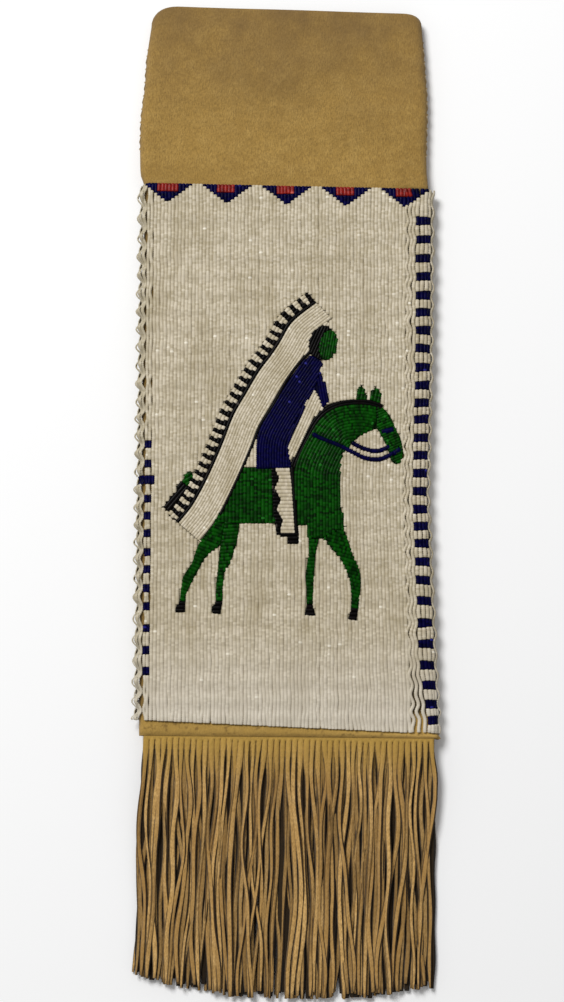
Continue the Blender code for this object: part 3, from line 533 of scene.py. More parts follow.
# The figure's drawing: outlines, and the lines that strings follow. In smooth
# outlines, a third value marks a corner
DRAWING = {
    "rein_upper": [(36, 4.5), (40.5, 2), (46, 0), (50.5, -0.3), (54, 0.8), (57, 2.4)],
    "rein_lower": [
        (14, 9.5), (18.5, 7), (28.5, 3), (37.5, -1.5), (42.5, -4), (47.5, -5), (52, -4.8),
        (56, -3.2), (59, -1.2),
    ],
    "bridle_upper": [(52.5, 10.5), (59.5, 12)],
    "bridle_lower": [(58, -2.5), (63, 1)],
    "trail_edge": [
        (13, 56.5), (9, 52.6), (4.8, 47.8), (-0.8, 39.6), (-8, 26), (-15.5, 14), (-19.5, 3.5),
        (-25, -9.5), (-32, -25), (-37.5, -36.5),
    ],
    "legging_stripe": [
        (-9.5, -10), (-7, -10), (-4.5, -16), (-7, -21.5), (-3.5, -28), (-6, -33), (-2.5, -39.5),
        (-4, -44.5), (-3.5, -47), (-6, -47.5), (-7.5, -39.5), (-8.5, -25),
    ],
    "legging_edge": [
        (1, -9), (2.5, -9), (4, -18), (5, -29.5), (6.5, -46.5), (4, -46.5), (3, -29.5), (2.2, -18),
    ],
    "foot": [(-4, -46.4), (6.5, -46), (6.5, -52.5), (0, -52.5), (0, -48.5), (-4, -48.5)],
    "legging": [(-7.5, -10), (2, -10), (3, -18), (4.5, -46), (-5, -47), (-8, -28)],
    "shirt": [
        (10, 52), (13.5, 54), (17.5, 52), (20, 49.5), (18.2, 46.5), (20, 41.5), (23.5, 28.5, 1),
        (20, 24, 1), (17.5, 30), (15.5, 34.5, 1), (11, 28), (7.5, 18.5), (3, 9.5), (0.5, 1.5),
        (1.3, -4.5), (1.9, -7.5, 1), (0.6, -12, 1), (-9, -12, 1), (-9.5, -10.5, 1),
        (-17.5, -10.5, 1), (-17.8, 1.5, 1), (-17.5, 6), (-15.5, 12), (-13, 17.5), (-6.5, 28),
        (-0.5, 39), (5.5, 46.5),
    ],
    "torso_line": [(-17.5, -14), (-17.7, 2), (-15.5, 12), (-6.5, 28), (5.5, 46.5), (12, 56)],
    "arm_line": [(17.2, 52), (19.4, 42), (22.2, 24)],
    "arm_zone": [(15.2, 34.5), (18.5, 46.5), (26, 40), (26, 22), (18, 22)],
    "front_line": [
        (15.2, 33.5), (11, 28), (7.5, 18.5), (3, 9.5), (0.5, 1.5), (1.3, -4.5), (1.9, -7.8),
    ],
    "mane": [
        (1.2, -7.8, 1), (5, -1), (8, 6), (11, 11.5), (14, 17.5), (18, 22), (22.5, 26), (29.5, 28),
        (37.5, 28.8), (47.5, 28.5), (53.5, 25.5, 1), (52.5, 23.5, 1), (46.5, 26), (37.5, 26.2),
        (30, 25.3), (23.5, 23), (20, 19.5), (16.5, 15), (13, 9.6), (10.5, 4), (7.5, -2.5),
        (4, -10, 1), (2.8, -10, 1),
    ],
    "mane_line": [
        (2.2, -12), (3.2, -8), (9.3, 5), (15.2, 16.2), (21, 22.6), (29.6, 26.6), (37.5, 27.5),
        (47.2, 27.2), (54.5, 23.9),
    ],
    "ear_left": [(38.5, 27, 1), (39, 32.5), (41.5, 37.5, 1), (44, 32.5), (44, 27, 1)],
    "ear_right": [(46, 27, 1), (46.5, 31.5), (49.5, 36.5, 1), (52, 33), (51.5, 26, 1)],
    "hoof_1": [(-59.5, -84.5), (-56.5, -84.5), (-56.5, -90.5), (-61.5, -90.5), (-62, -88.5)],
    "hoof_2": [(-39.5, -84.5), (-36, -84.5), (-37, -91.5), (-41.5, -91), (-42, -88.5)],
    "hoof_3": [(10.5, -86.5), (14, -86.5), (15.5, -92.5), (9.5, -91.5)],
    "hoof_4": [(35, -88.5), (39, -88), (38, -95), (33.5, -94)],
    "horse_neck": [
        (3, -9.5, 1), (6, -2.5), (9, 6), (13, 14), (18, 21), (24.5, 25), (32, 26.5), (40.5, 27.5),
        (48, 27.5), (52.5, 25), (57.5, 19.5), (60.5, 12.5), (63.5, 6), (64.5, -0.5), (63.5, -5.5),
        (61, -7.5), (58, -6), (57, -2), (53.5, 6.5), (50, 12.5, 1), (45.5, 11), (40, 8), (35.5, 4),
        (30.5, -2), (29.5, -11), (29.5, -26.5), (30.5, -36.5), (32, -43, 1), (19, -49.5, 1),
        (11.5, -49, 1), (11.5, -42, 1), (5.4, -42, 1), (4, -23.5),
    ],
    "neck_line": [
        (3.9, -60), (3.9, -24), (4.2, -9), (9.8, 4.5), (16.2, 15), (23, 22.2), (30, 25), (37.5, 26),
        (46.5, 25.8), (52, 24),
    ],
    "head_zone": [(49.5, 29), (50, 12.5), (50, -10), (70, -10), (70, 29)],
    "horse_body": [
        (-25, -9.5), (-8.5, -9.5), (-7.5, -25), (-6.5, -41), (-26.5, -41), (-41, -40.5), (-33, -25),
    ],
    "hind_leg_left": [
        (-38, -37.5, 1), (-46.5, -48.5), (-50, -54), (-53, -63.5), (-58, -71.5), (-59.5, -86, 1),
        (-56.5, -86, 1), (-55.5, -79.5), (-50.5, -69.5), (-46.5, -62), (-42.5, -57), (-37.5, -53.5),
        (-34.5, -47, 1), (-33, -38, 1),
    ],
    "hind_leg_right": [
        (-34.5, -38, 1), (-26.5, -38, 1), (-27.5, -49.5), (-29.5, -56), (-32, -64), (-35, -68.5),
        (-36, -86, 1), (-39.5, -86, 1), (-39.5, -75), (-38, -60), (-37.2, -53.5, 1),
    ],
    "fore_leg_left": [
        (11.5, -46, 1), (11.5, -58), (10, -69.5), (10.5, -78.5), (10.5, -88, 1), (14, -88, 1),
        (14.5, -75), (15.5, -59), (18.5, -46, 1),
    ],
    "fore_leg_right": [
        (17.5, -46, 1), (23.5, -54), (29.5, -61), (33, -68.5), (35, -77), (35, -90, 1),
        (39, -89.5, 1), (40.5, -75), (39.5, -66.5), (36, -58.5), (33, -49), (30, -41, 1),
    ],
    "band_line": [
        (16.5, 84.5), (8.5, 78.5), (1.5, 72), (-3, 63.5), (-9, 54), (-15.5, 45.5), (-23.5, 31.5),
        (-30, 20), (-35, 6.5), (-40.5, -7), (-46.5, -20), (-53.5, -32.5), (-60.5, -41),
    ],
    "tail_root": [
        (-57.5, -14.5), (-55.5, -12.5), (-53.5, -11.5), (-51.5, -17.5), (-56.5, -19.5),
        (-58.5, -18),
    ],
    "tail": [
        (-58, -17), (-61, -19.5), (-62, -23.5), (-65.5, -26.5), (-67.5, -30.5), (-69, -32),
        (-64, -36.5), (-58, -30.5), (-53.5, -22.5), (-52.5, -17),
    ],
    "ground_under_arm": [
        (15, 34.5), (16.8, 33), (20.8, 25.5), (19, 22.5), (15.5, 16.5), (12, 10), (8, 2.5), (4, -5),
        (2, -8.5), (-0.5, 0), (2, 9), (6, 18), (10, 27.5),
    ],
    "ground_behind_seat": [
        (-18, 7), (-16.8, 3.5), (-16.8, -10.2), (-24.8, -10.2), (-20, 2), (-18.7, 5),
    ],
    "face": oval(22.9, 60.2, 4.9, 8.8, -12),
    "hair": oval(19.2, 61.6, 6.9, 10.2, -16),
}
BAND_LINE = DRAWING["band_line"]
DRAWING["bonnet_trail"] = [
    *BAND_LINE, (-48.5, -51.5), (-38, -37.5), *DRAWING["trail_edge"][-2::-1], (13, 58), (15, 66),
    (25, 75.5),
]
DRAWING["trail_line"] = [(24, 90.5), *BAND_LINE, (-66, -48.5)]
MANE_PITCH = 1.45 * MM
NECK_PITCH = 1.75 * MM
EASED_LENGTH = 11 * MM

# How many beads wide each string's part of a feather is, from the inner string out
FEATHER_WIDTHS = (0, 2, 3, 3)


class Field:
    """One field of beads with its outline, the strings' lines, and a zone that they keep to."""

    def __init__(
        self, name, kind, outline, lines, zone=None, lift=FIGURE_PROUD, width=STRING_PITCH
    ):
        self.name, self.kind, self.outline, self.lines = name, kind, outline, lines
        self.zone, self.lift, self.width = zone, lift, width
        self.room = grown(outline, FIELD_GAP)
        self.clearing = grown(outline, GROUND_GAP)


def outline_of(name, steps=2):
    return closed(drawn(DRAWING[name]), steps)


def line_of(name):
    return spaced(smoothed(drawn(DRAWING[name]), 4))


def across_field(outline, degrees, pitch):
    """Straight strings at one slant over an outline, as many as fit it evenly."""
    ahead = np.array([math.cos(math.radians(degrees)), math.sin(math.radians(degrees))])
    side = np.array([-ahead[1], ahead[0]])
    corners = np.array([point[:2] for point in outline])
    along, over = corners @ ahead, corners @ side
    count = max(round((over.max() - over.min()) / pitch), 1)
    pitch = (over.max() - over.min()) / count
    reach = np.arange(along.min() - STRING_PITCH, along.max() + STRING_PITCH, FINE)
    starts = over.min() + (np.arange(count) + 0.5) * pitch
    return [reach[:, None] * ahead + start * side for start in starts]


def eased(line):
    """The line without its small bends: a moving average that keeps the ends in place."""
    half = min(int(EASED_LENGTH / FINE / 2), len(line) - 1)
    before = 2 * line[0] - line[half:0:-1]
    after = 2 * line[-1] - line[-2 : -half - 2 : -1]
    longer = np.concatenate([before, line, after])
    share = np.ones(2 * half + 1) / (2 * half + 1)
    return np.column_stack([np.convolve(longer[:, k], share, "valid") for k in (0, 1)])


def beside_guide(name, first, count, pitch):
    """Strings that follow a drawn line, from one offset to its left on to the next ones."""
    guide = eased(line_of(name))
    return [beside(guide, (first + i) * pitch) for i in range(count)]


def line_field(name, width, kind="navy_beads"):
    """A single dark string that lies along a line over the other beads."""
    width *= DRAWN_UNIT
    outline = ribbon(drawn(DRAWING[name]), width)
    return Field(name, kind, outline, [line_of(name)], lift=LINE_PROUD, width=width)


def field(name, kind, degrees, steps=2, pitch=STRING_PITCH):
    """A field of straight strings."""
    outline = outline_of(name, steps)
    return Field(name, kind, outline, across_field(outline, degrees, pitch), width=pitch)


def guided(name, kind, guide, first, count, steps, pitch):
    """A field of strings that follow a drawn line."""
    lines = beside_guide(guide, first, count, pitch)
    return Field(name, kind, outline_of(name, steps), lines, width=pitch)


def rider_fields():
    shirt = outline_of("shirt")
    arm_lines = beside_guide("arm_line", -1.5, 4, FINE_PITCH)
    arm_zone = drawn(DRAWING["arm_zone"])
    torso_lines = beside_guide("torso_line", -23.5, 24, FINE_PITCH)
    front = beside(line_of("front_line"), -FINE_PITCH / 2)
    front_zone = ribbon(front, FINE_PITCH)
    return [
        line_field("trail_edge", TRAIL_EDGE_WIDTH, "black_beads"),
        field("legging_stripe", "black_beads", 0, 1),
        field("legging_edge", "black_beads", 94, 1),
        field("foot", "black_beads", 0, 1),
        field("legging", "white_beads", 0, 1),
        guided("mane", "black_beads", "mane_line", -0.5, 2, 2, MANE_PITCH),
        Field("shirt", "navy_beads", shirt, arm_lines, arm_zone, width=FINE_PITCH),
        Field("shirt", "navy_beads", front_zone, [front], front_zone, width=FINE_PITCH),
        Field("shirt", "navy_beads", shirt, torso_lines, width=FINE_PITCH),
        field("face", "green_beads", 80, 1, FINE_PITCH),
        field("hair", "black_beads", 66, 1, FINE_PITCH),
    ]


def horse_fields():
    neck = outline_of("horse_neck")
    neck_lines = beside_guide("neck_line", -23.5, 24, NECK_PITCH)
    head_zone = drawn(DRAWING["head_zone"])
    head_lines = across_field(head_zone, 22, FINE_PITCH)
    return [
        field("ear_left", "green_beads", 78),
        field("ear_right", "green_beads", 78),
        *(field(f"hoof_{i}", "black_beads", 0, 1) for i in (1, 2, 3, 4)),
        Field("horse_neck", "green_beads", neck, head_lines, head_zone, width=FINE_PITCH),
        Field("horse_neck", "green_beads", neck, neck_lines, width=NECK_PITCH),
        field("horse_body", "green_beads", 90, 1),
        field("hind_leg_right", "green_beads", 4),
        field("hind_leg_left", "green_beads", -20),
        field("fore_leg_right", "green_beads", -16),
        field("fore_leg_left", "green_beads", 0),
    ]


def trail_fields():
    """The white trail of the bonnet, its feathered band, and the tail that shows behind it."""
    band = line_of("band_line")
    inner = beside(band, -STRING_PITCH * BAND_STRINGS)
    band_outline = [*map(tuple, band), *map(tuple, inner[::-1])]
    band_lines = [beside(band, -STRING_PITCH * (i + 0.5)) for i in range(BAND_STRINGS)]
    return [
        Field("bonnet_band", "black_beads", band_outline, band_lines),
        guided("bonnet_trail", "white_beads", "trail_line", 0.5, 19, 1, FINE_PITCH),
        field("tail_root", "green_beads", 30, 1),
        field("tail", "black_beads", 50, 1),
        field("ground_under_arm", "white_beads", 66, 1, FINE_PITCH),
        field("ground_behind_seat", "white_beads", 90, 1),
    ]


def figure_fields():
    """The figure's fields, in the order in which they lie over each other."""
    tack = [line_field(name, REIN_WIDTH) for name in ("rein_upper", "rein_lower")]
    tack += [line_field(name, BRIDLE_WIDTH) for name in ("bridle_upper", "bridle_lower")]
    return tack + rider_fields() + horse_fields() + trail_fields()


def make_figure(fields):
    """Fills each field with its strings, where no field above it has them."""
    pieces, band = {}, []
    for i, each in enumerate(fields):
        if each.name == "bonnet_band":
            band = make_band(each, fields[:i])
            continue
        if each.name not in pieces:
            pieces[each.name] = beads_of(each.name, each.kind)
        if i == 0 or fields[i - 1].name != each.name:
            pieces[each.name].plates.append((each.outline, PLATE_TOP - i * PLATE_STEP))
        for line in each.lines:
            kept = inside(each.outline, line)
            if each.zone:
                kept &= inside(each.zone, line)
            for upper in fields[:i]:
                if kept.any():
                    own = upper.name == each.name
                    kept &= ~inside(upper.zone if own else upper.room, line)
            pieces[each.name].lay(line, kept, each.lift, each.width)
    return [*pieces.values(), *band]


def make_band(band, above):
    """The feathered band: white wedges of beads, narrower toward the solid inner string."""
    black = beads_of("bonnet_band", "black_beads")
    white = Beads("bonnet_feather_beads", "white_beads", ["bonnet_feathers"])
    black.plates.append((band.outline, PLATE_TOP - len(above) * PLATE_STEP))
    for line, width in zip(band.lines, FEATHER_WIDTHS):
        kept = inside(band.outline, line)
        for upper in above:
            kept &= ~inside(upper.room, line)
        first, last = np.flatnonzero(kept)[[0, -1]]
        share = (np.arange(len(line)) - first) / (last - first)
        step = np.floor(share * FEATHER_COUNT * BAND_BEADS + 3.5).astype(int) % BAND_BEADS
        start = (BAND_BEADS - width) // 2
        pale = kept & (step >= start) & (step < start + width)
        black.lay(line, kept & ~pale, FIGURE_PROUD)
        white.lay(line, pale, FIGURE_PROUD)
    return [black, white]


# Grounds, border and edge strips. Lanes lie between rows where threads hold the strings down

LANE_ENDS_PX = (184.0, 206.0, *(row + 6.0 for row in BLOCK_ROWS_PX), 744.0)
LANES = len(LANE_ENDS_PX) - 1
TRIANGLE_MIDDLES = [
    TRIANGLE_MIDDLE + TRIANGLE_PITCH * (i - (TRIANGLE_COUNT - 1) / 2)
    for i in range(TRIANGLE_COUNT)
]

# Navy blocks that turn round from the left strip onto the front
LEFT_ROWS_PX = (444, 463.5, 480, 498.5, 515.5, 533, 552, 569, 588, 606, 628, 650, 671)
LEFT_WIDE_ROWS_PX = (479.5,)
LEFT_BLOCK_START = 6.0 * MM
LEFT_BLOCK_END = 10.0 * MM
LEFT_BLOCK_LENGTH = 4.4 * MM
LEFT_WIDE_END = 11.0 * MM
LEFT_WIDE_LENGTH = 5.0 * MM
LEFT_NARROWING = 0.22

# The edge strips: their lanes lie lower, and the right one narrows toward its foot
STRIP_SHIFT = 3.3 * MM
SQUEEZE = 0.32
SQUEEZE_START = -92.0 * MM
SQUEEZE_WIDTH = 8.5 * MM
OUTER_WIDTH = 4.5 * MM
OUTER_LIFT = 0.95 * MM
OUTER_FILL = 0.86
INNER_FILL = 0.94
EVEN_ROWS_START = 22.0 * MM

# How far the last beads lean over, for one bunch of two or three strings after another
BUNCH_LEANS = (0.9, -0.2, 0.6, 1.1, -0.6, 0.3, 1.0, -0.9, 0.1, 0.7)
BUNCHES_PER_STRING = 0.37
LEAN_SHARE = 0.45
FOOT_LOOSE = 8.5 * MM


def lane_turns(y):
    """Which lane a place is in, as a whole number, and how far down it is, as the rest."""
    off = y - PHOTO_MIDDLE_Y
    up = off * math.cos(VIEW_LEAN) / (1 + off * math.sin(VIEW_LEAN) / VIEW_DISTANCE)
    rows = PHOTO_MIDDLE_PX - up / PHOTO_PX
    return np.interp(rows, LANE_ENDS_PX, np.arange(LANES + 1.0))


def lane_curve(y, shift=0.0):
    """Which lane a place is in, and how far it is from the threads at the lane's ends, 0 to 1."""
    turns = lane_turns(y - shift)
    lane = np.clip(np.floor(turns).astype(int), 0, LANES - 1)
    return lane, np.sin(math.pi * (turns - lane)) ** 2


class Ground:
    """The upright strings: where each one lies, how it sways, and how high it lies."""

    def __init__(self, seed, shift=0.0):
        self.shift = shift
        self.dice = np.random.default_rng(seed)
        waves = random.Random(seed)
        self.sway = Waves(waves, *SWAY_WAVES)
        self.rise = Waves(waves, *RISE_WAVES)

    def string(self, x, head, foot, bows=None):
        """A string's line and its lift. In each lane it bows sideways by its own length."""
        y = np.arange(head, foot, -FINE)
        lane, middle = lane_curve(y, self.shift)
        own = self.dice.uniform(-1, 1, LANES + 1) * OWN_SWAY
        ends = np.interp(lane_turns(y - self.shift), np.arange(LANES + 1), own)
        if bows is None:
            bows = self.dice.uniform(-1, 1, LANES) * OWN_SWAY
        side = SWAY * self.sway(x, y) + ends + bows[lane] * middle
        sunk = np.where(self.dice.random(LANES) < SUNK_SHARE, -SUNK, 0.0)[lane]
        uneven = self.dice.uniform(-1, 1, LANES)[lane] * LANE_UNEVENNESS
        lift = LANE_ARCH * (middle - 1) + RISE * self.rise(x, y) + (sunk + uneven) * middle
        return np.column_stack([x + side, y]), lift


class Bunches:
    """Neighbouring strings, two to five at a time, which the cross threads draw together."""

    def __init__(self, count, pitch, dice):
        self.of_string = []
        while len(self.of_string) < count:
            size = int(dice.choice((2, 3, 3, 4, 5)))
            pulls = PULL * dice.uniform(0, 1, LANES + 1) ** 1.5
            offs = (np.arange(size) - (size - 1) / 2) * pitch
            self.of_string += [(off, pulls) for off in offs]

    def draw(self, line, number):
        off, pulls = self.of_string[number]
        turns = lane_turns(line[:, 1])
        near = np.cos(math.pi * (turns - np.round(turns))) ** 2
        line[:, 0] -= off * pulls[np.clip(np.round(turns).astype(int), 0, LANES)] * near


def triangle_depth(x):
    """How far down from the panel's top the navy and the red beads reach at each place across."""
    navy, red = 0.0, 0.0
    for middle in TRIANGLE_MIDDLES:
        off = abs(x - middle)
        if off < TRIANGLE_WIDTH / 2:
            navy = TRIANGLE_DEPTH * (1 - off / (TRIANGLE_WIDTH / 2)) + BEAD_LENGTH / 2
        if off < RED_WIDTH / 2:
            red = RED_DEPTH
    return navy, red


def border_corners(middle, top_width, foot_width, depth):
    """The corners of a shape that hangs from the panel's top edge."""
    tops = [middle - top_width / 2, middle + top_width / 2]
    feet = [middle + foot_width / 2, middle - foot_width / 2]
    top = [(x, border_y(x) - GAP - 0.1 * MM) for x in tops]
    return top + [(x, border_y(x) - GAP - depth) for x in (feet if foot_width else feet[:1])]


def placed_rows(rows_px):
    """Where rows of the photograph lie along the bag."""
    up = (PHOTO_MIDDLE_PX - np.array(rows_px)) * PHOTO_PX
    off = up / (math.cos(VIEW_LEAN) - up * math.sin(VIEW_LEAN) / VIEW_DISTANCE)
    return list(PHOTO_MIDDLE_Y + off)


def even_rows():
    """The middle of each block of the left strip, which are evenly spaced."""
    first, last = BORDER_Y - EVEN_ROWS_START, PANEL_FOOT_Y + BLOCK_LENGTH
    return list(np.linspace(first, last, len(BLOCK_ROWS_PX)))


def in_blocks(y, rows, length=BLOCK_LENGTH):
    return np.min(np.abs(y[:, None] - np.array(rows)), axis=1) < length / 2


def ground_columns():
    """The place across of each upright string beside the strip, and their pitch."""
    count = round((PANEL_EDGE + SURFACE_EDGE) / STRING_PITCH)
    pitch = (PANEL_EDGE + SURFACE_EDGE) / count
    return [-SURFACE_EDGE + (j + 0.5) * pitch for j in range(count)], pitch


def plate_edge(x):
    """One upright edge of a plate under the white strings, from its head to its foot."""
    foot = panel_foot_y(x) + PLATE_FOOT
    downs = np.linspace(0.3 * MM, PANEL_LENGTH - 0.6 * MM, 40)[:-1]
    return [(x, border_y(x) - down) for down in downs if border_y(x) - down > foot] + [(x, foot)]


def make_front_ground(fields):
    """The white strings of the front, with the border's triangles on their upper ends."""
    halves = halves_of("front_ground")
    numbers = range(1, TRIANGLE_COUNT + 1)
    navy = [beads_of(f"border_triangle_{i}", "navy_beads") for i in numbers]
    red = [beads_of(f"border_block_{i}", "red_beads") for i in numbers]
    turned_blocks = Beads("left_edge_block_ends", "navy_beads", ["left_edge_blocks"])
    ground = Ground(SEED)
    rows, wide_rows = placed_rows(LEFT_ROWS_PX), placed_rows(LEFT_WIDE_ROWS_PX)
    columns, pitch = ground_columns()
    bunches = Bunches(len(columns), pitch, ground.dice)
    for j, x in enumerate(columns):
        from_edge = x + SURFACE_EDGE
        share = max(1 - from_edge / BUCKLED_WIDTH, 0.0)
        if share and j % 2 == 0:
            bows = ground.dice.uniform(0.0, 1.0, LANES) ** 1.5 * BUCKLE
        side = -1 if j % 2 == 0 else 1
        own_bows = bows * share * side if share else None
        line, lift = ground.string(x, border_y(x) - GAP, panel_foot_y(x), own_bows)
        bunches.draw(line, j)
        settle_foot(line, j, ground)
        y = line[:, 1]
        loop = max(1 - from_edge / LOOP_WIDTH, 0.0)
        arch = lane_curve(y)[1]
        lift = lift + min(2 * loop, 1.0) * (LOOP_LIFT * arch - LOOP_DROP * (1 - arch))
        depth = border_y(line[:, 0]) - y
        navy_depth, red_depth = triangle_depth(x)
        nearest = round((x - TRIANGLE_MIDDLE) / TRIANGLE_PITCH) + TRIANGLE_COUNT // 2
        nearest = int(np.clip(nearest, 0, TRIANGLE_COUNT - 1))
        navy[nearest].lay(line, (depth < navy_depth) & (depth >= red_depth), lift)
        red[nearest].lay(line, depth < red_depth, lift)
        white = depth >= navy_depth
        for each in fields:
            white &= ~inside(each.clearing, line)
        dark = np.zeros(len(line), bool)
        if LEFT_BLOCK_START < from_edge < LEFT_BLOCK_END:
            dark = in_blocks(y, rows, LEFT_BLOCK_LENGTH)
        if from_edge < LEFT_WIDE_END:
            dark |= in_blocks(y, wide_rows, LEFT_WIDE_LENGTH)
        turned_blocks.lay(line, white & dark, lift)
        width = STRING_PITCH * (1 - LEFT_NARROWING * min(2 * share, 1.0))
        halves[0 if x < 0 else 1].lay(line, white & ~dark, lift, width)
    for half, start, end in ((halves[0], PLATE_LEFT, 0.0), (halves[1], 0.0, PLATE_RIGHT)):
        half.plates.append((plate_edge(end) + plate_edge(start)[::-1], GROUND_PLATE))
    for i, middle in enumerate(TRIANGLE_MIDDLES):
        triangle = border_corners(middle, TRIANGLE_WIDTH, 0.0, TRIANGLE_DEPTH)
        navy[i].plates.append((triangle, GROUND_PLATE + PLATE_STEP))
        block = border_corners(middle, RED_WIDTH, RED_WIDTH, RED_DEPTH)
        red[i].plates.append((block, GROUND_PLATE + 2 * PLATE_STEP))
    return [*halves, *navy, *red, turned_blocks]


def strip_columns():
    """Each string of an edge strip: its place across, its width, and if blocks cross it."""
    left = PANEL_EDGE + GAP
    pitch = BLOCK_INSET / INNER_STRINGS
    columns = [(left + (i + 0.5) * pitch, 0.95 * pitch, False) for i in range(INNER_STRINGS)]
    pitch = BLOCK_WIDTH / BLOCK_STRINGS
    start = left + BLOCK_INSET
    columns += [(start + (i + 0.5) * pitch, pitch, True) for i in range(BLOCK_STRINGS)]
    start += BLOCK_WIDTH
    pitch = (SURFACE_EDGE - start) / OUTER_STRINGS
    return columns + [(start + (i + 0.5) * pitch, pitch, False) for i in range(OUTER_STRINGS)]


def make_strip(side, turned):
    """One edge strip: upright white strings with navy blocks across the middle four.

    The last triangle of the border runs on over the right strip.
    """
    white = beads_of(f"{side}_edge_strip", "white_beads", turned)
    navy = Beads(f"{side}_edge_block_beads", "navy_beads", [f"{side}_edge_blocks"], turned)
    last_block = f"border_block_{TRIANGLE_COUNT}"
    red = Beads(f"{last_block}_end_beads", "red_beads", [last_block])
    ground = Ground(SEED + (2 if turned else 1), STRIP_SHIFT)
    rows = even_rows() if turned else placed_rows(BLOCK_ROWS_PX)
    skews = ground.dice.uniform(-1.1, 0.6, LANES) * MM
    pinches = ground.dice.uniform(0.9, 1.9, LANES)
    middle_x = PANEL_EDGE + BLOCK_INSET + BLOCK_WIDTH / 2
    for x, width, blocks in strip_columns():
        off = (x - middle_x) / BLOCK_WIDTH
        bows = (np.clip(off, -1, 1) * pinches + ground.dice.uniform(-0.3, 0.3, LANES)) * MM
        across = -x if turned else x
        line, lift = ground.string(x, border_y(across) - GAP, panel_foot_y(across) + GAP, bows)
        y = line[:, 1]
        corner = block = np.zeros(len(line), bool)
        if not turned:
            squeeze = SQUEEZE * smooth_step((SQUEEZE_START - y) / (SQUEEZE_START - PANEL_FOOT_Y))
            squeeze = squeeze * smooth_step((x - PANEL_EDGE) / SQUEEZE_WIDTH)
            line[:, 0] = SURFACE_EDGE - (SURFACE_EDGE - line[:, 0]) * (1 - squeeze)
            depth = border_y(line[:, 0]) - y
            corner, block = (depth < reach for reach in triangle_depth(x))
        lane, middle = lane_curve(y, STRIP_SHIFT)
        dark = in_blocks(y + skews[lane] * off, rows) & blocks
        if x > SURFACE_EDGE - OUTER_WIDTH:
            lift = lift + OUTER_LIFT * middle
        width *= OUTER_FILL if x > middle_x + BLOCK_WIDTH / 2 else INNER_FILL
        navy.lay(line, (dark | corner) & ~block, lift, width)
        red.lay(line, block, lift, width)
        white.lay(line, ~dark & ~corner, lift, width)
    return [white, navy] if turned else [white, navy, red]


def settle_foot(line, number, ground):
    """The last beads of the strings lean over in small bunches and leave dark gaps."""
    lean = BUNCH_LEANS[int(number * BUNCHES_PER_STRING) % len(BUNCH_LEANS)]
    own = LEAN_SHARE * (lean + ground.dice.uniform(-0.5, 0.5))
    share = smooth_step(1 - (line[:, 1] - panel_foot_y(line[:, 0])) / FOOT_LOOSE)
    line[:, 0] += own * MM * share


def make_back_ground():
    """The white strings of the back."""
    halves = halves_of("back_ground", True)
    ground = Ground(SEED + 5)
    for x in ground_columns()[0]:
        line, lift = ground.string(x, border_y(-x) - GAP, panel_foot_y(-x))
        half = halves[0 if x < 0 else 1]
        half.lay(line, np.ones(len(line), bool), np.minimum(lift, 0.0))
    return halves


# Hides

HIDE_ACROSS = 47
HIDE_DOWN = 120
EDGE_STEPS = 7
NEAR_ROWS_MM = (0.0, 0.25, 0.6, 1.1, 1.8, 2.8, 4.2, 6.2, 9.0, 12.0)
HEADER_REACH = 2.6 * MM
WELT = 0.8 * MM
WELT_RIPPLE = 3.1 * MM
MOUTH_RISE = 1.9 * MM
MOUTH_RISE_SLOPE = 0.009
MOUTH_RISE_LENGTH = 70 * MM
SOFTNESS = 0.75 * MM
STITCH_INSET = 0.35 * MM

# How far out the plain top's edges lie from straight lines, at places along the bag, in mm
LEFT_BULGE = (
    (165, 0.0), (175.2, 0.2), (177, 2.1), (181, 2.9), (187, 3.4), (196, 3.9), (214, 4.0),
    (223, 3.3), (232, 2.4), (250, 1.85), (262, 0.6), (268, -0.1), (280, 0.3),
)
RIGHT_BULGE = (
    (165, 0.0), (172, 0.0), (176, -0.7), (187, -1.1), (196, -0.7), (205, -0.1), (214, 0.7),
    (223, 1.4), (232, 1.9), (241, 2.0), (262, 1.8), (270, 1.6), (280, 1.3),
)

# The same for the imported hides, as three smooth steps
PACKED_LEFT = 2.0 * MM
PACKED_RIGHT = 3.2 * MM
PACKED_DIP = 1.1 * MM


def half_width(y):
    t = np.clip((y - BORDER_Y) / TOP_LENGTH, 0.0, 1.0)
    return (BAG_WIDTH + (MOUTH_WIDTH - BAG_WIDTH) * t) / 2


def corner_inset(distance, radius):
    left = np.clip(radius - distance, 0.0, radius)
    return radius - np.sqrt(radius**2 - left**2)


def rolled(distance, length, size):
    """How far an edge rolls in, within some length of it."""
    return size * np.clip(1 - distance / length, 0, 1) ** 2


